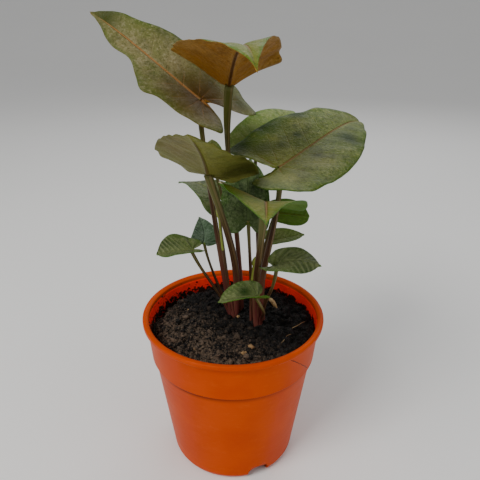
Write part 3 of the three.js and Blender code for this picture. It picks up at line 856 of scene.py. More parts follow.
LOOKS: dict[str, LeafLook] = {
    "top_left": LeafLook(COPPER_UPPER, COPPER_UNDER, "leaf_copper", frill=1.2, stout=1.05, marks=(
        (Mark.DARK, 1, 0.17, 0.0, 0.08), (Mark.WARM, 0, 0.24, -0.12, 0.14),
        (Mark.DARK, 1, 0.02, 0.86, 0.12), (Mark.DARK, 1, 0.24, -0.2, 0.08),
        (Mark.WARM, 0, 0.11, 0.2, 0.05), (Mark.WARM, 1, 0.1, 0.3, 0.1),
    )),
    "top_front": LeafLook(GREY_UPPER, COPPER_UNDER, "leaf_copper", frill=0.5, stout=0.72, flare=1.75),
    "large_right": LeafLook(GREEN_UPPER, GREEN_UNDER, "leaf_green", frill=0.9, stout=1.15, marks=(
        (Mark.DARK, 0, 0.34, 0.06, 0.17), (Mark.DARK, 0, 0.36, 0.28, 0.17),
        (Mark.DARK, 0, 0.13, 0.17, 0.05), (Mark.DARK, 0, 0.2, 0.08, 0.12),
        (Mark.DARK, 0, 0.27, 0.5, 0.09), (Mark.DARK, 1, 0.12, 0.52, 0.09),
        (Mark.DARK, 1, 0.115, 0.2, 0.04), (Mark.DARK, 0, 0.12, 0.31, 0.035),
        (Mark.WARM, 1, 0.2, 0.17, 0.09), (Mark.WARM, 1, 0.22, -0.12, 0.09),
        (Mark.WARM, 0, 0.2, 0.42, 0.08), (Mark.WARM, 0, 0.2, 0.2, 0.05),
    )),
    "front_centre": LeafLook(GREY_UPPER, GREEN_UNDER, "leaf_green", stout=1.15, marks=(
        (Mark.DRY, 1, 0.44, 0.0, 0.1), (Mark.WARM, 1, 0.01, 0.19, 0.08),
    )),
    "left_middle": LeafLook(GREY_UPPER, TAUPE_UNDER, "leaf_copper", frill=0.9, stout=1.1, marks=(
        (Mark.WARM, 1, 0.2, 0.3, 0.2), (Mark.WARM, 1, 0.15, 0.6, 0.2),
        (Mark.DARK, 0, 0.24, 0.42, 0.04),
    )),
    "under_right": LeafLook(YOUNG_UPPER, GREEN_UNDER, "leaf_dark"),
    "centre_shade": LeafLook(DARK_UPPER, GREEN_UNDER, "leaf_dark"),
    "left_behind": LeafLook(YOUNG_UPPER, GREEN_UNDER, "leaf_green"),
    "low_left": LeafLook(YOUNG_UPPER, GREEN_UNDER, "leaf_green", frill=0.8, pleats=5.0),
    "curled_left": LeafLook(BLUISH_UPPER, GREEN_UNDER, "leaf_dark", frill=0.8, pleats=5.0),
    "low_right": LeafLook(YOUNG_UPPER, GREEN_UNDER, "leaf_green", frill=0.8, pleats=3.0),
    # Painted light: a light skin and broad warm marks lighten this leaf, which lies in the shade of the
    # large leaf above it.
    "mid_right": LeafLook(LIGHT_UPPER, GREEN_UNDER, "leaf_green", frill=0.7, pleats=3.0, marks=(
        (Mark.WARM, 1, 0.1, 0.3, 0.3), (Mark.WARM, 0, 0.1, 0.3, 0.3),
    )),
    "front_low": LeafLook(YOUNG_UPPER, GREEN_UNDER, "leaf_green", frill=0.7, pleats=3.0, marks=(
        (Mark.DARK, 0, 0.15, 0.3, 0.2), (Mark.DARK, 1, 0.15, 0.3, 0.2),
    )),
    "back_right": LeafLook(LIGHT_UPPER, GREEN_UNDER, "leaf_green"),
    "back_left": LeafLook(LIGHT_UPPER, GREEN_UNDER, "leaf_green"),
}


class Outline:
    """Half outlines of a blade, across and along in blade lengths, from the tip round the lobe."""

    ARROW = np.array([
        [0, 1], [0.03, 0.93], [0.085, 0.8], [0.16, 0.62], [0.235, 0.42], [0.295, 0.2],
        [0.33, 0], [0.335, -0.17], [0.27, -0.33], [0.16, -0.27], [0.07, -0.13], [0, 0],
    ])
    HEART = np.array([
        [0, 1], [0.085, 0.955], [0.22, 0.85], [0.345, 0.66], [0.4, 0.43], [0.405, 0.2],
        [0.385, 0], [0.34, -0.18], [0.235, -0.31], [0.13, -0.27], [0.055, -0.13], [0, 0],
    ])

    @classmethod
    def smooth(cls, heart: float, count: int) -> Array:
        """Smooth curve through the mixed outline's points, sampled evenly by the points' spacing.

        Between two points it is a cubic, whose slope at each of them is half the step between the
        point before and the point after.

        Args:
            heart: 0 for the arrow, 1 for the heart.
            count: Number of samples.

        Returns:
            Samples, shape (count, 2).
        """
        points = mix(cls.ARROW, cls.HEART, heart)
        whole = np.vstack([2 * points[0] - points[1], points, 2 * points[-1] - points[-2]])
        reach = np.concatenate([[0], np.cumsum(np.linalg.norm(np.diff(points, axis=0), axis=1))])
        at = np.linspace(0, reach[-1], count)
        k = np.clip(np.searchsorted(reach, at, side="right") - 1, 0, len(points) - 2)
        f = ((at - reach[k]) / (reach[k + 1] - reach[k]))[:, None]
        p0, p1, p2, p3 = (whole[k + step] for step in range(4))
        square = 2 * p0 - 5 * p1 + 4 * p2 - p3
        return 0.5 * (2 * p1 + (p2 - p0) * f + square * f**2 + (3 * p1 - p0 - 3 * p2 + p3) * f**3)


class Blade:
    """One leaf blade: a flat grid from midrib to margin, bent in space and given two faces.

    Attributes:
        BACK, STEPS: How far the midrib's path runs on behind the joint, and its steps. Distances
            that name no unit are in blade lengths.
        CLIMB_REACH, FOLD_REACH: Distance behind the joint at which lobes have all their climb and fold.
        CURL_REACH: Distance across in which a half bends by its curl.
        OPENING: Share of the outline, from the lobe's end on, in which the cleft opens.
        TAPER: How much narrower the tip is, and over what distance.
        FAN_START: Distance from the joint within which the rows fan out round it.
        CROWDING: Power that sets the points of a row closer together towards the margin.
        VEIN_ANGLE, VEIN_SPACING, VEIN_BEND: How side veins leave the midrib and bend to the tip.
        FAN_ANGLE: Angle between the veins that fan out into a lobe.
        USUAL: Length in millimetres that the heights of the relief are given for.
        LARGE, GRIDS: Length in millimetres from which a blade has the first grid, and both grids.
        JOINT_REACH: Radius of the area round the joint.
        THICKNESS: Millimetres between the faces at the midrib and at the margin.
        RIB: Height and half width of the rib under the midrib, in millimetres.
    """

    BACK = 0.6
    STEPS = 160
    CLIMB_REACH = 0.35
    FOLD_REACH = 0.3
    CURL_REACH = 0.33
    OPENING = 0.11
    TAPER = (0.45, 0.07)
    FAN_START = 0.1
    CROWDING = 0.9
    VEIN_ANGLE = math.radians(56)
    VEIN_SPACING = 0.14
    VEIN_BEND = 0.45
    FAN_ANGLE = math.radians(36)
    USUAL = 95
    LARGE = 45
    GRIDS = ((72, 20), (46, 13))
    JOINT_REACH = 0.26
    THICKNESS = (0.55, 0.3)
    RIB = (0.8, 0.9)

    def __init__(self, name: str, shape: LeafShape, look: LeafLook) -> None:
        """Works out the midrib: the sum of its directions along the blade, moved to the joint.

        Args:
            name: The leaf's name.
            shape: Its outline and bend.
            look: How it is dressed.
        """
        self.name = name
        self.shape = shape
        self.look = look
        self.shares = np.linspace(-self.BACK, 1, self.STEPS + 1)
        along = self.turn(self.shares)[0]
        steps = (along[1:] + along[:-1]) / 2 * np.diff(self.shares)[:, None] * shape.length
        self.path = np.vstack([np.zeros(3), np.cumsum(steps, axis=0)])
        self.path += np.array(shape.joint) - self.midrib(np.zeros(1))[0]

    def turn(self, share: Array) -> tuple[Array, Array, Array]:
        """Directions of the blade, from its heading, its climb and its roll there.

        Args:
            share: Shares of the length.

        Returns:
            Unit directions along the midrib, across to the right, and out of the upper face.
        """
        shape = self.shape
        front, behind = np.maximum(share, 0), np.maximum(-share, 0)
        climb = mix(*shape.rise, front**shape.droop) + shape.lobe_rise * behind / self.CLIMB_REACH
        el = np.radians(climb)
        az = np.radians(mix(*shape.heading, front))
        ro = np.radians(mix(*shape.roll, front))
        along = np.stack([np.cos(el) * np.cos(az), np.cos(el) * np.sin(az), np.sin(el)], axis=1)
        up = np.stack([-np.sin(el) * np.cos(az), -np.sin(el) * np.sin(az), np.cos(el)], axis=1)
        right = np.stack([np.sin(az), -np.cos(az), np.zeros_like(az)], axis=1)
        cos, sin = np.cos(ro)[:, None], np.sin(ro)[:, None]
        return along, right * cos + up * sin, up * cos - right * sin

    def midrib(self, share: Array) -> Array:
        """Points of the midrib at shares of the length."""
        return np.stack([np.interp(share, self.shares, self.path[:, k]) for k in range(3)], axis=1)

    def bend(self, side: int, x: Array, y: Array) -> Array:
        """Places in space of flat points.

        Each half is raised by its fold and bends on an arc towards its margin.

        Args:
            side: 0 for the left half, 1 for the right.
            x: Distance across from the midrib, in millimetres.
            y: Distance along the midrib from the joint, in millimetres.

        Returns:
            Points, shape (n, 3).
        """
        shape = self.shape
        share = y / shape.length
        back = np.clip(-share / self.FOLD_REACH, 0, 1)
        fold = shape.fold[side] + shape.lobe_fold[side] * back
        lift = np.radians(mix(fold, shape.tip_fold, np.clip(share, 0, 1)))
        curl = math.radians(shape.curl[side]) if abs(shape.curl[side]) > 0.01 else 1e-4
        bend = curl / (self.CURL_REACH * shape.length)
        sideways = (np.sin(lift + bend * x) - np.sin(lift)) / bend
        height = (np.cos(lift) - np.cos(lift + bend * x)) / bend
        _, across, out = self.turn(share)
        sign = 1 if side else -1
        return self.midrib(share) + sign * sideways[:, None] * across + height[:, None] * out

    def half(self, side: int, rows: int, columns: int) -> tuple[Array, Array, Array]:
        """Flat grid of one half, whose rows fan out round the stalk.

        Args:
            side: 0 for the left half, 1 for the right.
            rows: Number of samples of the outline.
            columns: Number of steps from midrib to margin.

        Returns:
            Distance across, distance along, and share of the way to the margin, each as a grid.
        """
        shape = self.shape
        outline = Outline.smooth(shape.heart, rows)[:-1]
        index = np.arange(len(outline)) / (rows - 1)
        past = index - index[outline[:, 1].argmin()]
        opened = mix(1.0, shape.sinus[side], np.clip(past / self.OPENING, 0, 1))
        swell = sum(
            (reach * np.exp(-(((index - at) / spread) ** 2)) for half, at, spread, reach in shape.swells
             if half == side),
            np.zeros_like(index),
        ) * ease(index, 0, 0.05)
        narrower, tip = self.TAPER
        slender = 1 - narrower * np.exp(-(((1 - outline[:, 1]) / tip) ** 2))
        a = (outline[:, 0] * shape.width[side] * slender + swell) * opened * shape.length
        b = np.where(outline[:, 1] < 0, outline[:, 1] * shape.lobes[side], outline[:, 1]) * shape.length
        start = np.clip((outline[:, 1] - self.FAN_START) / (1 - self.FAN_START), 0, 1) * shape.length
        way = np.linspace(0, 1, columns + 1) ** self.CROWDING
        across = a[:, None] * way
        along = mix(start[:, None], b[:, None], way)
        return across, along, np.broadcast_to(way, across.shape)

    def veins(self, x: Array, y: Array) -> tuple[Array, Array]:
        """Places between the side veins.

        In front of the first side vein, veins leave the midrib at an even spacing and one angle and
        bend towards the tip. Behind it they fan out from the joint into the lobe.

        Args:
            x: Distance across from the midrib, in millimetres.
            y: Distance along the midrib, in millimetres.

        Returns:
            The place, a whole number on each vein, and the millimetres that one step of it takes.
        """
        length = self.shape.length
        bent = y - self.VEIN_BEND * x**2 / length
        turn = np.arctan2(x, bent)
        spacing = self.VEIN_SPACING * length
        ahead = (bent - x / math.tan(self.VEIN_ANGLE)) / spacing
        round_joint = -(turn - self.VEIN_ANGLE) / self.FAN_ANGLE
        fanned = turn > self.VEIN_ANGLE
        step = np.where(fanned, np.hypot(x, bent) * self.FAN_ANGLE, spacing * math.sin(self.VEIN_ANGLE))
        return np.where(fanned, round_joint, ahead), step

    def relief(self, points: Array, x: Array, edge: Array, phase: Array) -> Array:
        """Height of the upper face over the bent sheet.

        It is the sum of pillows between the side veins, a slow unevenness that grows from the midrib
        out, the frill of the margin, and a groove along the midrib.

        Args:
            points: Places in millimetres.
            x: Distance across from the midrib, in millimetres.
            edge: Share of the way to the margin.
            phase: Place between the side veins.

        Returns:
            Heights in millimetres.
        """
        size = self.shape.length / self.USUAL
        seed = sum(ord(letter) for letter in self.name)
        pillows = -0.34 * self.look.pleats * size * np.cos(2 * np.pi * phase)
        pillows *= np.sin(np.pi * np.clip(edge, 0, 1)) ** 0.7
        uneven = 0.7 * size**0.5 * lattice_noise(points, 11.0, seed) * ease(edge, 0.1, 0.8)
        frill = self.look.frill * lattice_noise(points, 6.5, seed + 9) * ease(edge, 0.6, 1)
        groove = -0.3 * size**0.5 * np.exp(-((x / 1.1) ** 2))
        return pillows + uneven + frill + groove

    def marked(self, side: int, x: Array, y: Array) -> Array:
        """Strength of each kind of mark: bell curves of the distance from the marks of one half.

        Args:
            side: 0 for the left half, 1 for the right.
            x: Distance across from the midrib, in millimetres.
            y: Distance along the midrib, in millimetres.

        Returns:
            Strengths from 0 to 1, one row for each kind.
        """
        strengths = np.zeros((len(Mark), len(x)))
        for mark, half, a, b, radius in self.look.marks:
            if half == side:
                away = np.hypot(x / self.shape.length - a, y / self.shape.length - b) / radius
                strengths[mark.value] = np.maximum(strengths[mark.value], np.exp(-(away**2)))
        return strengths

    def bent_sheet(self) -> Mesh:
        """Both halves bent in space and welded along the midrib, without relief.

        Returns:
            Points, triangles, and nine values of each point: distance across, place between the
            veins, share of the way to the margin, share of the length, width of a place, dryness,
            nearness to the joint, marks of painted shade and warm marks.
        """
        length = self.shape.length
        rows, columns = self.GRIDS[0 if length > self.LARGE else 1]
        parts = []
        for side in (0, 1):
            x, y, edge = (grid.ravel() for grid in self.half(side, rows, columns))
            phase, step = self.veins(x, y)
            # dark: strength of the marks of painted shade
            dry, dark, warm = self.marked(side, x, y)
            near = np.exp(-((np.hypot(x, y) / (self.JOINT_REACH * length)) ** 2))
            flat = np.stack([x, phase, edge, y / length, step, dry, near, dark, warm], axis=1)
            quads = grid_faces(rows - 1, columns + 1)
            both = np.vstack([quads[:, [0, 3, 2]], quads[:, [0, 2, 1]]])
            parts.append((self.bend(side, x, y), both if side else both[:, ::-1], flat))
        return weld(*join(parts))

    def build(self) -> bpy.types.Object:
        """Makes the blade: two skins a fraction of a millimetre apart, with a rib under the midrib.

        Returns:
            The blade's object.
        """
        points, faces, flat = self.bent_sheet()
        off, phase, edge, share = flat[:, :4].T
        points = points + normals_of(points, faces) * self.relief(points, off, edge, phase)[:, None]
        height, spread = self.RIB
        rib = height * math.sqrt(self.shape.length / self.USUAL) * np.exp(-((off / spread) ** 2))
        rib *= ease(share, -0.03, 0.02) * (1 - np.clip(share, 0, 1)) ** 0.6
        lower = points - normals_of(points, faces) * (mix(*self.THICKNESS, edge) + rib)[:, None]
        edges = open_edges(faces)
        count = len(points)
        rim = np.hstack([edges[:, ::-1], edges + count])
        fields = np.vstack([flat, flat])
        piece = make_piece(
            f"blade_{self.name}",
            inside_box(np.vstack([points, lower])),
            [faces, faces[:, ::-1] + count, rim],
            [self.look.upper.material(), self.look.under.material()],
            {"vein": fields[:, :3], "spot": fields[:, 3:6], "joint": fields[:, 6:]},
            np.concatenate([np.zeros(len(faces)), np.ones(len(faces) + len(rim))]),
        )
        settle(piece, self.look.slot, f"leaf_{self.name}")
        return piece


@dataclass(frozen=True)
class StalkFinish:
    """Skin of the stalks: foot, body and top from the ground up, and pale streaks along them."""

    foot: Colour = shade(110, 56, 52)
    body: Colour = shade(62, 38, 22)
    streak: Colour = shade(124, 104, 70)
    top: Colour = shade(86, 92, 40)
    young: Colour = shade(126, 136, 56)

    def material(self) -> bpy.types.Material:
        """Builds the skin from the share of the length, the turn round the stalk, and noise.

        Returns:
            The material.
        """
        sheet = Sheet("stalk_skin")
        share, turn, kind = sheet.field("stalk")
        lines = sheet.streaks((turn * 9.0, share * 1.4, kind * 7.3), 1.6)
        fine = sheet.noise(1.1, 3.0, 0.6)
        stray = lines - 0.5
        ridge = sheet.rise(turn + stray * 0.3, 0.56, 0.64) * sheet.fall(turn, 0.7, 0.8)
        colour = sheet.coats(
            self.foot,
            (sheet.rise(share + stray * 0.35, 0.1, 0.5), self.body),
            (sheet.rise(share + stray * 0.3, 0.62, 0.95) * 0.8, self.top),
            (ridge * sheet.rise(share, 0.1, 0.4) * 0.5, self.streak),
            (sheet.rise(lines, 0.52, 0.64) * 0.5, self.streak),
            (sheet.rise(kind, 0.97, 1.0), self.young),
            (sheet.rise(fine, 0.6, 0.8) * 0.25, self.foot),
        )
        gloss = 0.42 + (fine - 0.5) * 0.2
        return sheet.finish(colour, gloss, lines * 0.8 + fine * 0.4, 0.2, Specular_IOR_Level=0.15)


@dataclass(frozen=True)
class YoungLeaf:
    """A rolled leaf that has not opened, on a thin stalk of its own, in millimetres.

    The foot is an offset from the middle of its shoot, bow is how far the middle of the curve is pulled,
    radii are those of the stalk at foot and top, and bud is that of the rolled leaf.
    """

    side: Side
    tip: Triple
    foot: Pair
    bow: Triple
    radii: Pair
    bud: float


YOUNG: tuple[YoungLeaf, ...] = (
    YoungLeaf(Side.LEFT, (-9.5, 2, 184), (-1, -5), (-2, -6, 0), (0.9, 0.7), 1.7),
    YoungLeaf(Side.RIGHT, (14, -6, 150), (-5, -2), (-3, 0, 0), (0.9, 0.7), 1.6),
)


@dataclass
class Shoot:
    """One clump of stalks that rise from the soil, with its rolled young leaf.

    Attributes:
        side: Which shoot.
        blades: All blades of the plant, of which it carries its own.
        rings, round_points: Rings of points on a stalk, and points in a ring.
        foot_height: Height of the stalks' feet, under the soil.
        groove: Depth of the groove in a leaf stalk's foot, as a share of the radius.
        seat: How far under the joint a leaf stalk's curve aims, and how far it goes on into the blade.
        bud_share: Share of a young leaf's stalk at which the rolled leaf starts.
        kind_step, young_kind: Kind from one leaf stalk to the next, and kind of a young leaf's stalk.
    """

    side: Side
    blades: list[Blade]
    rings: int = 64
    round_points: int = 18
    foot_height: float = 91.0
    groove: float = 0.3
    seat: Pair = (1.1, 0.5)
    bud_share: float = 0.86
    kind_step: float = 0.09
    young_kind: float = 0.9

    def tube(self, controls: Array, radius: Array, groove: float, kind: float) -> Mesh:
        """Closed tube along a curve: a ring round each point, with a groove where the sheath opens.

        Args:
            controls: Control points of the curve.
            radius: Radius at each ring.
            groove: Depth of the groove at the foot, as a share of the radius.
            kind: Number that tells the stalks apart.

        Returns:
            Points, triangles, and the share, turn and kind of each point.
        """
        share = np.linspace(0, 1, self.rings)
        centre, along = pulled_curve(controls, share)
        sideways = np.array([1.0, 0, 0]) - along * along[:, :1]
        sideways /= np.linalg.norm(sideways, axis=1, keepdims=True)
        other = np.cross(along, sideways)
        turn = np.linspace(0, 2 * np.pi, self.round_points, endpoint=False)
        inward = math.atan2(-0.3, 1.0) + kind * 3.0
        away = np.angle(np.exp(1j * (turn - inward)))
        cut = groove * (1 - ease(share, 0.1, 0.5))[:, None] * np.exp(-((away / 0.5) ** 2))
        oval = 1 + 0.06 * np.cos(2 * (turn + kind))[None, :] - cut
        out = np.cos(turn)[None, :, None] * sideways[:, None, :]
        out = out + np.sin(turn)[None, :, None] * other[:, None, :]
        points = (centre[:, None, :] + (radius[:, None] * oval)[:, :, None] * out).reshape(-1, 3)
        fields = np.stack([
            np.concatenate([np.repeat(share, self.round_points), [0, 1]]),
            np.concatenate([np.tile(np.abs(turn / np.pi - 1), self.rings), [0, 0]]),
            np.full(len(points) + 2, kind),
        ], axis=1)
        faces = tube_faces(self.rings, self.round_points)
        return np.vstack([points, centre[:1], centre[-1:]]), faces, fields

    def leaf_stalk(self, blade: Blade, kind: float) -> Mesh:
        """Stalk of one leaf: up from the shoot, bowed, and into the underside of the blade.

        Args:
            blade: The blade that it carries.
            kind: Number that tells the stalks apart.

        Returns:
            Points, triangles, and the share, turn and kind of each point.
        """
        route = blade.shape.stalk
        along, _, out = (direction[0] for direction in blade.turn(np.zeros(1)))
        foot = np.array([*np.add(route.side.value, route.foot), self.foot_height])
        under, on = self.seat
        seat = np.array(blade.shape.joint) + along * route.radii[1] * 0.8 - out * under
        height = np.linalg.norm(seat - foot)
        low = foot + [*route.low, 0.35 * height]
        high = seat + [*route.high, -0.3 * height]
        share = np.linspace(0, 1, self.rings)
        radius = mix(*route.radii, np.minimum(1, 1.3 * share)) * (1 + 0.12 * (1 - ease(share, 0, 0.25)))
        radius = radius * mix(1.0, blade.look.flare, ease(share, 0.72, 1))
        radius = radius * mix(1.0, blade.look.stout, ease(share, 0.0, 0.3))
        return self.tube(np.array([foot, low, high, seat + out * on]), radius, self.groove, kind)

    def young_leaf(self, young: YoungLeaf) -> Mesh:
        """Thin stalk that ends in a rolled, pointed leaf: a spindle on the curve's last part.

        Args:
            young: The young leaf.

        Returns:
            Points, triangles, and the share, turn and kind of each point.
        """
        foot = np.array([*np.add(young.side.value, young.foot), self.foot_height])
        tip = np.array(young.tip)
        middle = mix(foot, tip, 0.6) + young.bow
        share = np.linspace(0, 1, self.rings)
        on_bud = np.clip((share - self.bud_share) / (1 - self.bud_share), 0, 1)
        bud = young.bud * np.maximum(np.sin(np.pi * mix(0.18, 1, on_bud)), 0) ** 0.8
        radius = np.where(share < self.bud_share, mix(*young.radii, share), np.maximum(0.22, bud))
        points, faces, fields = self.tube(np.array([foot, middle, tip]), radius, 0.0, self.young_kind)
        fields[:, 2] = np.where(fields[:, 0] > self.bud_share * 0.7, 1.0, self.young_kind)
        return points, faces, fields

    def build(self, material: bpy.types.Material) -> bpy.types.Object:
        """Makes all stalks of the shoot as one piece.

        Args:
            material: The stalks' skin.

        Returns:
            The shoot's object.
        """
        own = [blade for blade in self.blades if blade.shape.stalk.side is self.side]
        tubes = [self.leaf_stalk(blade, self.kind_step * number) for number, blade in enumerate(own)]
        tubes += [self.young_leaf(young) for young in YOUNG if young.side is self.side]
        points, faces, fields = join(tubes)
        name = self.side.name.lower()
        piece = make_piece(f"stalks_{name}", points, [faces], [material], {"stalk": fields})
        settle(piece, "stalk", f"shoot_{name}")
        return piece


@dataclass(frozen=True)
class PotFinish:
    """Orange moulded plastic, plain outside, and inside stained by soil and reddened by light.

    Attributes:
        soiled: 1 for the inside, 0 for the outside.
        worn, creased, cracked: Colours of drag marks, of the painted shade under the collar and of the
            crack.
        stain, smear: Colours of soil that sticks to the inside, thick and thin.
        lit, light: Colour and strength of the light that comes through the wall.
        collar_shade_band: Heights at which the painted shade under the collar sets in, is full, thins and
            ends.
        crack_turn, crack_height: Direction of the crack's middle from the pot's axis, in degrees, and
            its height.
        crack_slope: How far it falls for each millimetre sideways.
        crack_ends: Distances sideways at which it sets in, is full, thins and ends.
        crack_width: Half width of its dark core and of all of it.
    """

    name: str
    colour: Colour
    deep: Colour
    soiled: float
    worn: Colour = shade(222, 116, 40)
    collar_shade: Colour = shade(84, 22, 2)
    cracked: Colour = shade(34, 12, 4)
    stain: Colour = shade(38, 22, 14)
    smear: Colour = shade(70, 30, 14)
    lit: Colour = shade(255, 40, 6)
    light: float = 0.14
    collar_shade_band: Steps = (73.5, 78.4, 78.7, 79.3)
    crack_turn: float = -44.0
    crack_height: float = 93.5
    crack_slope: float = 0.887
    crack_ends: Steps = (-11.8, -10.2, 10.5, 14.5)
    crack_width: Pair = (0.18, 0.42)

    def material(self) -> bpy.types.Material:
        """Builds the plastic: slow colour changes, fine grain, drag marks and, inside, stuck soil.

        Returns:
            The material.
        """
        sheet = Sheet(self.name)
        x, y, z = sheet.parts(sheet.place())
        broad, grain = sheet.noise(26.0, 2.0, 0.5), sheet.noise(0.7, 2.0, 0.6)
        drag = sheet.streaks((x * 60.0, y * 60.0, z * 400.0), 1.0)
        dust_and_glow = sheet.noise(3.2, 5.0, 0.65)
        outside = 1 - self.soiled
        in_front = 0.5 + sheet.rise(y - x * 0.5, -0.06, -0.03) * 0.5
        # Painted shade: a dark band under the collar where its shadow falls, at half strength towards the
        # front right.
        collar_shade_band = sheet.band(z, *(height * MM for height in self.collar_shade_band))
        low = sheet.band(z, 0.04, 0.05, 0.094, 0.102)
        stuck = sheet.rise(dust_and_glow + low * 0.3, 0.66, 0.7) * self.soiled
        colour = sheet.coats(
            self.colour,
            (sheet.rise(broad, 0.35, 0.7) * 0.5, self.deep),
            (sheet.rise(drag * 0.5 + dust_and_glow * 0.5, 0.5, 0.7) * 0.12, self.worn),
            (collar_shade_band * outside * in_front, self.collar_shade),
            (self.crack(sheet, x, y, z) * outside, self.cracked),
            (stuck, self.stain),
            (sheet.rise(dust_and_glow, 0.7, 0.78) * self.soiled * 0.5, self.smear),
        )
        gloss = 0.4 + (drag - 0.5) * 0.18 + stuck * 0.4 + (grain - 0.5) * 0.08
        height = grain * 0.3 + drag * 0.4 + stuck * 2.0
        # Painted light: the inside above the soil glows red, unevenly, for light that comes through the
        # wall.
        glow = sheet.rise(z, 0.084, 0.096) * (0.7 + (dust_and_glow - 0.5) * 1.6) * (1 - stuck)
        shining = sheet.blend(glow * self.soiled, (0.0, 0.0, 0.0), self.lit)
        return sheet.finish(
            colour, gloss, height, 0.12,
            Specular_IOR_Level=0.06, Emission_Color=shining, Emission_Strength=self.light,
        )

    def crack(self, sheet: Sheet, x: Wire, y: Wire, z: Wire) -> Wire:
        """Hairline crack that slants down across the collar at the front right.

        On the collar a place is its distance sideways from the crack's middle and its height. The line
        is where the height and the slope times the distance come to the middle's height. It wavers by
        noise, and it runs on the outside only.

        Args:
            sheet: The material's nodes.
            x: Place to the right, in metres, as are all three.
            y: Place to the back.
            z: Height.

        Returns:
            1 on the line, 0 off it.
        """
        cos, sin = math.cos(math.radians(self.crack_turn)), math.sin(math.radians(self.crack_turn))
        sideways = y * cos - x * sin
        outward = x * cos + y * sin
        waver = (sheet.noise(3.0, 3.0, 0.6) - 0.5) * 0.003
        away = z - self.crack_height * MM + sideways * self.crack_slope + waver
        core, whole = self.crack_width
        line = sheet.fall(sheet.maths("ABSOLUTE", away), core * MM, whole * MM)
        ends = sheet.band(sideways, *(end * MM for end in self.crack_ends))
        return line * ends * sheet.rise(outward, 0.05, 0.052)


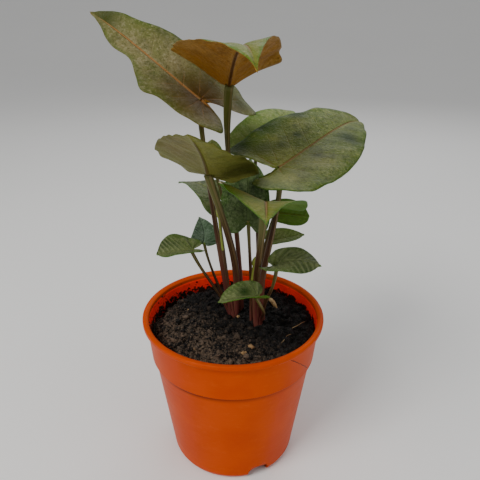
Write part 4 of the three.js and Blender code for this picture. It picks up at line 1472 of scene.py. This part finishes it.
@dataclass
class Pot:
    """Thin-walled nursery pot: a turned profile with a collar, a rolled rim and drainage arches.

    Sizes are in millimetres. The radii of collar, wall and foot are those of the outside, collar_height
    is the height of the collar's foot, and wall and floor are thicknesses. The floor stands flat up to
    stand_radius and is raised from raised_radius on. Arches are cut over the distances notch_reach from
    the axis, the first at notch_angle degrees, and notch_arch is the height of their curved part.
    """

    height: float = 107.0
    rim_radius: float = 60.0
    lip_height: float = 3.4
    collar_top: float = 57.3
    collar_foot: float = 55.0
    collar_height: float = 79.0
    wall_top: float = 53.2
    wall_foot: float = 43.2
    foot_radius: float = 39.2
    corner_height: float = 6.0
    wall: float = 1.3
    floor: float = 1.6
    stand_radius: float = 27.0
    raised_radius: float = 31.0
    raised_height: float = 9.0
    turns: int = 168
    notch_width: float = 14.5
    notch_height: float = 8.7
    notch_arch: float = 4.0
    notch_reach: Pair = (34.0, 48.0)
    notch_angle: float = -66.0
    notches: int = 3

    def inner_radius(self, height: Array | float) -> Array | float:
        """Radius of the collar's inside at a height: its foot's, plus the slope times the climb."""
        slope = (self.collar_top - self.collar_foot) / (self.height - self.collar_height)
        return self.collar_foot + (height - self.collar_height) * slope - self.wall

    def corners(self) -> list[Triple]:
        """Corners of the turned profile, from the middle of the underside round to the inside.

        Returns:
            Radius, height and rounding of each corner.
        """
        foot, wall_foot, wall_top = self.foot_radius, self.wall_foot, self.wall_top
        collar_foot, collar_top, step = self.collar_foot, self.collar_top, self.collar_height
        inner, skirt = collar_top - self.wall, wall_foot - self.wall
        top, lip = self.height, self.height - self.lip_height
        raised, ledge = self.raised_height, self.raised_height + self.floor
        return [
            (0.0, 0.0, 0.0), (self.stand_radius, 0.0, 1.0), (self.raised_radius, raised, 1.0),
            (skirt + 0.3, raised, 0.4), (skirt - 0.1, self.corner_height, 0.5), (foot + 1.1, 2.4, 0.8),
            (foot - self.wall, 0.0, 0.3), (foot, 0.0, 0.5), (foot + 2.3, 1.1, 0.9),
            (wall_foot - 0.35, 3.5, 1.2), (wall_foot, self.corner_height + 0.2, 1.4),
            (wall_foot + 0.64, 11.0, 0.5), (wall_foot + 1.2, 15.0, 0.5), (wall_top, step - 0.6, 0.35),
            (collar_foot, step, 0.8), (collar_foot + 0.04, step + 1.2, 0.3), (collar_top, lip - 0.6, 0.35),
            (self.rim_radius - 0.2, lip, 0.8), (self.rim_radius, top - 0.3, 1.2),
            (collar_top + 0.6, top, 0.9), (inner, top - 1.1, 0.5), (inner - 0.1, top - 3.6, 0.25),
            (inner - 0.55, top - 4.0, 0.25), (collar_foot - self.wall, step + 0.6, 0.8),
            (wall_top - self.wall, step - 1.2, 0.6), (skirt + 0.7, ledge + 1.2, 0.6),
            (skirt - 0.6, ledge, 0.6), (self.raised_radius - 1.0, ledge, 1.0),
            (self.stand_radius - 1.0, self.floor, 1.0), (0.0, self.floor, 0.0),
        ]

    def profile(self) -> tuple[Array, int]:
        """Rounds each corner with a parabola that leaves one leg and meets the next.

        Returns:
            The profile's points, shape (n, 2), and the number of the first one inside the rim.
        """
        corners = np.array(self.corners())
        flat = corners[:, :2]
        points = [flat[:1]]
        steps = np.linspace(0, 1, 5)[:, None]
        inside = 0
        for number in range(1, len(flat) - 1):
            before, at, after = flat[number - 1], flat[number], flat[number + 1]
            back, on = before - at, after - at
            cut = min(corners[number, 2], 0.45 * np.linalg.norm(back), 0.45 * np.linalg.norm(on))
            start = at + back / np.linalg.norm(back) * cut
            end = at + on / np.linalg.norm(on) * cut
            points.append((1 - steps) ** 2 * start + 2 * steps * (1 - steps) * at + steps**2 * end)
            if not inside and at[0] < self.collar_top and at[1] > self.height - 2:
                inside = sum(len(part) for part in points)
        points.append(flat[-1:])
        return np.vstack(points), inside

    def cutter(self, angle: float) -> bpy.types.Object:
        """Prism with an arched top, which cuts one drainage opening through the foot.

        Args:
            angle: Its direction from the pot's axis, in degrees.

        Returns:
            The prism's object.
        """
        turn = np.linspace(0, np.pi, 13)
        half, spring, under = self.notch_width / 2, self.notch_height - self.notch_arch, -2
        arch = np.stack([half * np.cos(turn), spring + self.notch_arch * np.sin(turn)], axis=1)
        outline = np.vstack([[[half, under]], arch, [[-half, under]]])
        count = len(outline)
        flat = np.vstack([np.insert(outline, 0, reach, axis=1) for reach in self.notch_reach])
        cos, sin = math.cos(math.radians(angle)), math.sin(math.radians(angle))
        points = flat @ np.array([[cos, sin, 0], [-sin, cos, 0], [0, 0, 1]])
        ring = np.arange(count)
        after = np.roll(ring, -1)
        walls = np.stack([after, after + count, ring + count, ring], axis=1)
        return make_piece("notch", points, [walls, ring[None, ::-1], ring[None, :] + count], [])

    def build(self) -> bpy.types.Object:
        """Turns the profile round the axis and cuts the drainage arches.

        Returns:
            The pot's object.
        """
        profile, inside = self.profile()
        turn = np.linspace(0, 2 * np.pi, self.turns, endpoint=False)
        middle = profile[1:-1]
        points = around(middle[:, :1], turn, middle[:, 1:]).reshape(-1, 3)
        count = len(points)
        points = np.vstack([points, [[0, 0, profile[0, 1]], [0, 0, profile[-1, 1]]]])
        quads = grid_faces(len(middle), self.turns, closed=True)
        first = np.arange(self.turns)
        caps = np.vstack([fan(first, count, False), fan(first + count - self.turns, count + 1, True)])
        on_quads = np.repeat(np.arange(len(middle) - 1) >= inside - 1, self.turns)
        on_caps = np.arange(2 * self.turns) >= self.turns
        outer = PotFinish("pot_outer", shade(196, 69, 2), shade(178, 54, 2), 0.0).material()
        # Painted light: the inside takes redder copies of the plastic's colours, for light that comes
        # through the wall.
        inner = PotFinish("pot_inner", shade(214, 36, 14), shade(176, 22, 8), 1.0).material()
        choice = np.concatenate([on_quads, on_caps])
        piece = make_piece("pot_wall", points, [quads, caps], [outer, inner], None, choice)
        for number in range(self.notches):
            cutter = self.cutter(self.notch_angle + number * 360 / self.notches)
            cut = piece.modifiers.new("notch", "BOOLEAN")
            cut.operation = "DIFFERENCE"
            cut.object = cutter
            apply_modifiers(piece)
            bpy.data.objects.remove(cutter)
        settle(piece, "pot_plastic", "pot")
        return piece


def apply_modifiers(piece: bpy.types.Object) -> None:
    """Replaces a piece's mesh by what its modifiers make of it, and takes the modifiers off.

    Args:
        piece: The piece.
    """
    graph = bpy.context.evaluated_depsgraph_get()
    graph.update()
    finished = bpy.data.meshes.new_from_object(piece.evaluated_get(graph))
    piece.modifiers.clear()
    piece.data = finished


@dataclass(frozen=True)
class SoilFinish:
    """Damp peat with painted shade in its hollows and gaps, brown dry grains and pale wood chips."""

    name: str = "peat"
    damp: Colour = shade(20, 16, 14)
    dark: Colour = shade(2, 2, 2)
    brown: Colour = shade(136, 114, 94)
    chip: Colour = shade(176, 140, 96)

    def material(self, loose: bool) -> bpy.types.Material:
        """Builds the peat, browner at the front left, as drier peat and as painted light.

        Args:
            loose: Whether it is for crumbs, whose kind is kept on their points.

        Returns:
            The material.
        """
        sheet = Sheet(self.name + ("_crumbs" if loose else "_bed"))
        broad, middle = sheet.noise(14.0, 3.0, 0.6), sheet.noise(2.6, 4.0, 0.65)
        fine, grit = sheet.noise(0.6, 3.0, 0.7), sheet.noise(1.0, 2.0, 0.6)
        gap_shade_noise = sheet.noise(1.7, 3.0, 0.7)
        tone, hollow_shade, _ = sheet.field("crumb")
        x, y, _ = sheet.parts(sheet.place())
        # Drier peat and painted light: the brown coats fade from the front left, where light falls, to a
        # small share at the back right.
        dry_and_lit_side = sheet.rise(x * -14.0 + y * -16.0, -0.2, 0.75)
        lit = 0.08 + dry_and_lit_side * 0.92
        browner = sheet.rise(broad * 0.5 + middle * 0.5 + dry_and_lit_side * 0.14, 0.5, 0.72)
        coats = [
            (sheet.rise(middle, 0.35, 0.65), self.damp),
            (browner * lit * 0.55, self.brown),
            (sheet.rise(fine, 0.58, 0.7) * lit * 0.7, self.brown),
            # Painted shade: the bed darkens where its top lies in a hollow; on crumbs this value is their
            # radius.
            (hollow_shade * 0.85, self.dark),
            # Painted shade: black specks from this noise stand for the shaded gaps between grains.
            (sheet.fall(gap_shade_noise, 0.42, 0.47) * 0.9, self.dark),
            (sheet.rise(grit * 0.7 + gap_shade_noise * 0.3, 0.54, 0.58) * lit * 0.7, self.brown),
        ]
        if loose:
            coats.append((sheet.rise(tone, 0.6, 0.9) * lit * 0.7, self.brown))
            coats.append((sheet.rise(tone, 1.4, 1.6), self.chip))
        colour = sheet.coats(self.dark, *coats)
        gloss = 0.72 - sheet.rise(fine, 0.45, 0.7) * 0.36
        return sheet.finish(colour, gloss, middle * 1.6 + fine * 1.6, 0.9, Specular_IOR_Level=0.3)


@dataclass(frozen=True)
class DryFinish:
    """Dried plant tissue: tan, with darker grains and paler places."""

    name: str = "dry_tissue"
    body: Colour = shade(158, 122, 78)
    dark: Colour = shade(86, 58, 36)
    pale: Colour = shade(196, 168, 124)

    def material(self) -> bpy.types.Material:
        """Builds the dried tissue.

        Returns:
            The material.
        """
        sheet = Sheet(self.name)
        middle, fine = sheet.noise(3.0, 3.0, 0.6), sheet.noise(0.6, 3.0, 0.6)
        colour = sheet.coats(
            self.body,
            (sheet.rise(middle, 0.4, 0.66), self.pale),
            (sheet.rise(fine, 0.48, 0.7) * 0.7, self.dark),
        )
        return sheet.finish(colour, 0.66 + (fine - 0.5) * 0.2, fine + middle, 0.3, Specular_IOR_Level=0.2)


@dataclass
class Soil:
    """Peat that fills the pot, with crumbs, chips, a dried husk and root threads lying on it.

    Attributes:
        pot: The pot that holds it. Sizes are in millimetres.
        level, mound: Mean height of its top; height, x, y and spread of the mound at the back left.
        edge_drop, sunk: How much lower it lies by the wall, and by the left wall besides.
        cells: Cells of the top's grid each way.
        crumbs, lumps: Number, least and greatest radius, and roughness of each kind.
        stuck, stuck_share: Number of crumbs that stick to the pot's inside, and share at the left.
        stuck_turn, stuck_heights: Direction of these and its spread in radians, and their heights.
        chips: Pale wood chips, each with its x, its y and its radius.
        dried: Husk and root threads: points above the peat, half width, thickness and roll of each.
        dried_grid: Rings of points on each of these, and points in a ring.
    """

    pot: Pot
    level: float = 96.4
    mound: Steps = (2.2, -14.0, 20.0, 24.0)
    edge_drop: float = 1.4
    sunk: float = 5.5
    cells: int = 210
    crumbs: tuple[int, float, float, float] = (4200, 0.35, 1.5, 0.3)
    lumps: tuple[int, float, float, float] = (380, 1.2, 3.0, 0.35)
    stuck: int = 420
    stuck_share: float = 0.72
    stuck_turn: Pair = (math.radians(188), 0.55)
    stuck_heights: Pair = (93.5, 104.8)
    chips: tuple[Triple, ...] = (
        (3.4, 3.6, 1.5), (11.2, -25.8, 1.6), (10.7, -29.4, 1.9), (12.4, -28.6, 1.2), (6.2, -34.9, 1.5),
        (7.6, -33.4, 0.9), (-31.0, 12.0, 1.0), (-24.0, -30.0, 0.9),
    )
    dried: tuple[tuple[tuple[Triple, ...], float, float, float], ...] = (
        (((32.6, 17.0, 1.0), (28.0, 21.0, 3.4), (30.4, 25.3, 4.4), (25.2, 29.5, 3.0), (25.2, 33.0, 1.8)),
         1.7, 0.25, 0.7),
        (((37.0, -10.2, 1.0), (39.6, -5.0, 2.0), (42.6, -7.6, 2.2), (44.6, -1.4, 1.6), (48.8, 0.6, 1.4)),
         0.2, 0.2, 0.0),
        (((30.0, -24.0, 0.8), (34.0, -22.0, 2.4), (33.0, -16.0, 2.4), (38.0, -14.0, 0.8)),
         0.14, 0.14, 0.0),
    )
    dried_grid: tuple[int, int] = (60, 12)
    rng: np.random.Generator = field(default_factory=lambda: np.random.default_rng(41))

    def ground(self, x: Array, y: Array) -> Array:
        """Height without clods: a level with a mound, lower by the wall, plus slow waves.

        Args:
            x: Place to the right.
            y: Place to the back.

        Returns:
            Heights.
        """
        height, at_x, at_y, spread = self.mound
        away = np.hypot(x - at_x, y - at_y) / spread
        edge = np.hypot(x, y) / 54
        lumps = 0.8 * np.sin(0.31 * x + 1.3) * np.cos(0.27 * y + 0.4)
        lumps += 0.5 * np.sin(0.73 * x - 0.41 * y) + 0.3 * np.cos(0.9 * y + 0.6 * x + 2)
        return self.level + height * np.exp(-(away**2) / 2) - self.edge_drop * edge**4 + lumps

    def surface(self, x: Array, y: Array) -> Array:
        """Height with clods: the ground plus noise of three sizes, folded so that it has ridges.

        By the left wall it is lower by a smooth step of the distance from the axis.

        Args:
            x: Place to the right.
            y: Place to the back.

        Returns:
            Heights.
        """
        flat = np.stack([x, y, np.zeros_like(x)], axis=1)
        clods = 2.3 * (0.55 - np.abs(fractal(flat, 8.5, 2, 5)))
        lumps = 1.7 * (0.5 - np.abs(lattice_noise(flat, 3.4, 11))) + 0.7 * lattice_noise(flat, 1.5, 17)
        sunk = self.sunk * ease(np.hypot(x, y), 44.0, 53.5) * ease(-x + 0.3 * y, 4.0, 40.0)
        return self.ground(x, y) + clods + lumps - sunk

    def bed(self, material: bpy.types.Material) -> bpy.types.Object:
        """Makes the body of soil: a square grid pressed into a disc, a wall and a bottom.

        Args:
            material: The peat.

        Returns:
            The bed's object.
        """
        pot, count = self.pot, self.cells + 1
        u, v = np.meshgrid(np.linspace(-1, 1, count), np.linspace(-1, 1, count))
        radius = pot.inner_radius(93) - 0.35
        x = (radius * u * np.sqrt(1 - v**2 / 2)).ravel()
        y = (radius * v * np.sqrt(1 - u**2 / 2)).ravel()
        top = np.stack([x, y, self.surface(x, y)], axis=1)
        grid = np.arange(count * count).reshape(count, count)
        ring = np.concatenate([grid[0, :-1], grid[:-1, -1], grid[-1, :0:-1], grid[:0:-1, 0]])
        turn = np.arctan2(y[ring], x[ring])
        base, wall_foot = pot.floor + 0.3, pot.wall_foot - pot.wall
        ledge = base + pot.raised_height
        walls = [
            (pot.wall_top - pot.wall - 0.9, 76.0), (wall_foot - 0.2, ledge + 2.5), (wall_foot - 1.6, ledge),
            (pot.raised_radius - 1.3, ledge), (pot.stand_radius - 1.4, base),
        ]
        rings = [around(radius, turn, height) for radius, height in walls]
        points = np.vstack([top, *rings, [[0, 0, base]]])
        faces = [grid_faces(count, count)]
        before = ring
        for number in range(len(walls)):
            now = len(top) + number * len(ring) + np.arange(len(ring))
            faces.append(np.stack([before, now, np.roll(now, -1), np.roll(before, -1)], axis=1))
            before = now
        hollow_shade = np.zeros((len(points), 3))
        # Painted shade: how far the top lies below the ground without clods, for darkening the hollows.
        hollow_shade[:len(top), 1] = ease(self.ground(x, y) - top[:, 2], 0.1, 1.6)
        sides = [np.vstack(faces), fan(before, len(points) - 1, False)]
        piece = make_piece("soil_bed", points, sides, [material], {"crumb": hollow_shade})
        settle(piece, "soil", "soil")
        return piece

    def scattered(self, count: int) -> tuple[Array, Array]:
        """Places spread evenly over the bed."""
        away, turn = 51.5 * np.sqrt(self.rng.random(count)), self.rng.random(count) * 2 * np.pi
        return away * np.cos(turn), away * np.sin(turn)

    def on_wall(self, count: int) -> Array:
        """Places on the pot's inside above the soil, thick at the left and thin all round.

        Args:
            count: Number of places.

        Returns:
            Points, shape (n, 3).
        """
        rng = self.rng
        left = rng.random(count) < self.stuck_share
        turn = np.where(left, rng.normal(*self.stuck_turn, count), rng.random(count) * 2 * np.pi)
        height = mix(*self.stuck_heights, rng.random(count) ** np.where(left, 1.25, 2.6))
        return around(self.pot.inner_radius(height), turn, height)

    def lumps_at(self, centre: Array, radius: Array, rough: float, tone: Array) -> Mesh:
        """Crumbs: many copies of a 20-faced solid, each stretched, turned and dented at random.

        Args:
            centre: Their places.
            radius: Their radii.
            rough: How much the corners are moved, as a share of the radius.
            tone: How pale each is, where 2 is a wood chip.

        Returns:
            Points, triangles and the kind of each point.
        """
        golden = (1 + math.sqrt(5)) / 2
        base = np.array([
            [-1, golden, 0], [1, golden, 0], [-1, -golden, 0], [1, -golden, 0],
            [0, -1, golden], [0, 1, golden], [0, -1, -golden], [0, 1, -golden],
            [golden, 0, -1], [golden, 0, 1], [-golden, 0, -1], [-golden, 0, 1],
        ]) / math.hypot(1, golden)
        sides = np.array([
            [0, 11, 5], [0, 5, 1], [0, 1, 7], [0, 7, 10], [0, 10, 11], [1, 5, 9], [5, 11, 4], [11, 10, 2],
            [10, 7, 6], [7, 1, 8], [3, 9, 4], [3, 4, 2], [3, 2, 6], [3, 6, 8], [3, 8, 9], [4, 9, 5],
            [2, 4, 11], [6, 2, 10], [8, 6, 7], [9, 8, 1],
        ])
        rng, count, corners = self.rng, len(centre), len(base)
        quaternion = rng.normal(size=(count, 4))
        quaternion /= np.linalg.norm(quaternion, axis=1, keepdims=True)
        w, i, j, k = quaternion.T
        turned = np.stack([
            np.stack([1 - 2 * (j * j + k * k), 2 * (i * j - k * w), 2 * (i * k + j * w)], axis=1),
            np.stack([2 * (i * j + k * w), 1 - 2 * (i * i + k * k), 2 * (j * k - i * w)], axis=1),
            np.stack([2 * (i * k - j * w), 2 * (j * k + i * w), 1 - 2 * (i * i + j * j)], axis=1),
        ], axis=1)
        stretch = radius[:, None] * rng.uniform(0.6, 1.25, (count, 3))
        dents = 1 + rough * rng.uniform(-1, 1, (count, corners, 1))
        local = base[None] * dents * stretch[:, None, :]
        placed = np.einsum("nij,nkj->nki", turned, local)
        placed[:, :, 2] *= 0.8
        points = (placed + centre[:, None, :]).reshape(-1, 3)
        faces = (sides[None] + corners * np.arange(count)[:, None, None]).reshape(-1, 3)
        kind = np.repeat(np.stack([tone, radius, np.zeros(count)], axis=1), corners, axis=0)
        return points, faces, kind

    def strips(self, material: bpy.types.Material) -> bpy.types.Object:
        """Makes the dried husk and the root threads that lie on the peat, as one piece.

        Each is a flattened tube along a smooth curve through a few points. Its half width is a power
        of a sine of the way along. The husk is broad and its cross-section is a bowed strip; the
        threads are thin and round.

        Args:
            material: The dried tissue.

        Returns:
            The strips' object.
        """
        rings, count = self.dried_grid
        turn = np.linspace(0, -2 * np.pi, count, endpoint=False)
        steps = np.linspace(0, 1, rings)
        no_values = np.empty((rings * count + 2, 0))
        tubes = []
        for route, broad, thick, rolled in self.dried:
            controls = np.array(route)
            controls[:, 2] += self.surface(controls[:, 0], controls[:, 1])
            line, along = pulled_curve(controls, steps)
            across = np.cross(along, [0, 0, 1])
            across /= np.linalg.norm(across, axis=1, keepdims=True)
            above = np.cross(across, along)
            width = broad * (0.12 + np.sin(np.pi * steps) ** 0.6)
            side = np.cos(turn)[None] * width[:, None]
            height = np.sin(turn)[None] * thick - rolled * side**2 / broad
            tube = line[:, None] + side[..., None] * across[:, None] + height[..., None] * above[:, None]
            points = np.vstack([tube.reshape(-1, 3), line[:1], line[-1:]])
            tubes.append((points, tube_faces(rings, count), no_values))
        points, faces, _ = join(tubes)
        piece = make_piece("soil_strips", points, [faces], [material])
        settle(piece, "soil")
        return piece

    def litter(self, material: bpy.types.Material) -> bpy.types.Object:
        """Makes the crumbs, lumps and chips that lie on the bed or stick to the pot, as one piece.

        Args:
            material: The peat of the crumbs.

        Returns:
            The crumbs' object.
        """
        rng, sets = self.rng, []
        for count, low, high, rough in (self.crumbs, self.lumps):
            radius = low * (high / low) ** (rng.random(count) ** 2.2)
            x, y = self.scattered(count)
            centre = np.stack([x, y, self.surface(x, y) + 0.25 * radius], axis=1)
            sets.append(self.lumps_at(centre, radius, rough, rng.random(count)))
        radius = 0.25 * 4.2 ** (rng.random(self.stuck) ** 2.4)
        sets.append(self.lumps_at(self.on_wall(self.stuck), radius, 0.3, rng.random(self.stuck) * 0.6))
        x, y, radius = np.array(self.chips).T
        centre = np.stack([x, y, self.surface(x, y) + 0.6 * radius], axis=1)
        sets.append(self.lumps_at(centre, radius, 0.35, np.full(len(x), 2.0)))
        points, faces, kinds = join(sets)
        piece = make_piece("soil_crumbs", points, [faces], [material], {"crumb": kinds})
        settle(piece, "soil")
        return piece


@dataclass
class Studio:
    """Plain pale floor, soft lights and the camera at the photograph's angle.

    Places are in metres and angles in degrees, lens and sensor in millimetres, and shift is a share of
    the picture's width. The floor is in millimetres: it lies floor_low under the pot's foot, and
    floor_bend says where it starts to curve up and how fast.
    """

    camera_place: Triple = (0.0, -0.2976, 0.2931)
    pitch_down: float = 24.3
    lens: float = 39.0
    sensor: float = 36.0
    shift: float = 7 / 480
    aim: Triple = (0.0, 0.0, 0.17)
    ambient: float = 0.4
    floor_x: Pair = (-6000, 6000)
    floor_y: Pair = (-4000, 5000)
    floor_low: float = 0.3
    floor_bend: Pair = (1500, 0.00013)

    def camera(self) -> None:
        """Sets the camera."""
        data = bpy.data.cameras.new("camera")
        data.lens = self.lens
        data.sensor_width = self.sensor
        data.shift_x = self.shift
        data.clip_start = 0.01
        camera = bpy.data.objects.new("camera", data)
        camera.location = self.camera_place
        camera.rotation_euler = (math.radians(90 - self.pitch_down), 0.0, 0.0)
        bpy.context.scene.collection.objects.link(camera)
        bpy.context.scene.camera = camera

    def light(self, name: str, place: Triple, size: float, power: float, colour: Colour) -> None:
        """Hangs one soft square light that faces the plant.

        Args:
            name: Its name.
            place: Where it hangs, in metres.
            size: Its side, in metres.
            power: Its power in watts.
            colour: Its colour.
        """
        data = bpy.data.lights.new(name, "AREA")
        data.size = size
        data.energy = power
        data.color = colour
        light = bpy.data.objects.new(name, data)
        light.location = place
        aim = Vector(self.aim) - Vector(place)
        light.rotation_euler = aim.to_track_quat("-Z", "Y").to_euler()
        bpy.context.scene.collection.objects.link(light)

    def floor(self) -> None:
        """Lays the floor: level in front, and curving up far behind by the square of the distance."""
        x = np.linspace(*self.floor_x, 3)
        run = np.linspace(*self.floor_y, 120)
        start, climb = self.floor_bend
        height = np.where(run > start, climb * (run - start) ** 2, 0.0) - self.floor_low
        points = np.stack([np.tile(x, len(run)), np.repeat(run, len(x)), np.repeat(height, len(x))], axis=1)
        sheet = Sheet("floor_paint")
        tone = sheet.noise(400.0, 2.0, 0.5)
        colour = sheet.blend(tone, (0.86, 0.86, 0.85), (0.9, 0.9, 0.89))
        paint = sheet.finish(colour, 0.9, tone, 0.01)
        floor = make_piece("floor", points, [grid_faces(len(run), len(x))], [paint])

    def build(self) -> None:
        """Sets camera, floor, lights and the pale surroundings."""
        self.camera()
        self.floor()
        self.light("key", (-0.6, -0.65, 1.1), 0.55, 12.0, (1.0, 0.98, 0.95))
        self.light("fill", (0.95, -0.6, 0.6), 0.9, 2.5, (0.96, 0.98, 1.0))
        self.light("back", (0.3, 0.9, 0.9), 0.8, 3.0, (1.0, 1.0, 1.0))
        world = bpy.data.worlds.new("surroundings")
        world.use_nodes = True
        background = world.node_tree.nodes["Background"]
        background.inputs["Color"].default_value = (1.0, 1.0, 1.0, 1.0)
        background.inputs["Strength"].default_value = self.ambient
        bpy.context.scene.world = world


def main() -> None:
    """Builds the studio, the pot, the soil and the plant in that order."""
    logging.basicConfig(level=logging.INFO, format="%(name)s %(message)s")
    Studio().build()
    pot = Pot()
    pot.build()
    soil = Soil(pot)
    soil.bed(SoilFinish().material(loose=False))
    soil.litter(SoilFinish().material(loose=True))
    soil.strips(DryFinish().material())
    blades = [Blade(name, shape, LOOKS[name]) for name, shape in LEAVES.items()]
    skin = StalkFinish().material()
    for side in Side:
        Shoot(side, blades).build(skin)
    for blade in blades:
        blade.build()


if __name__ == "__main__":
    main()
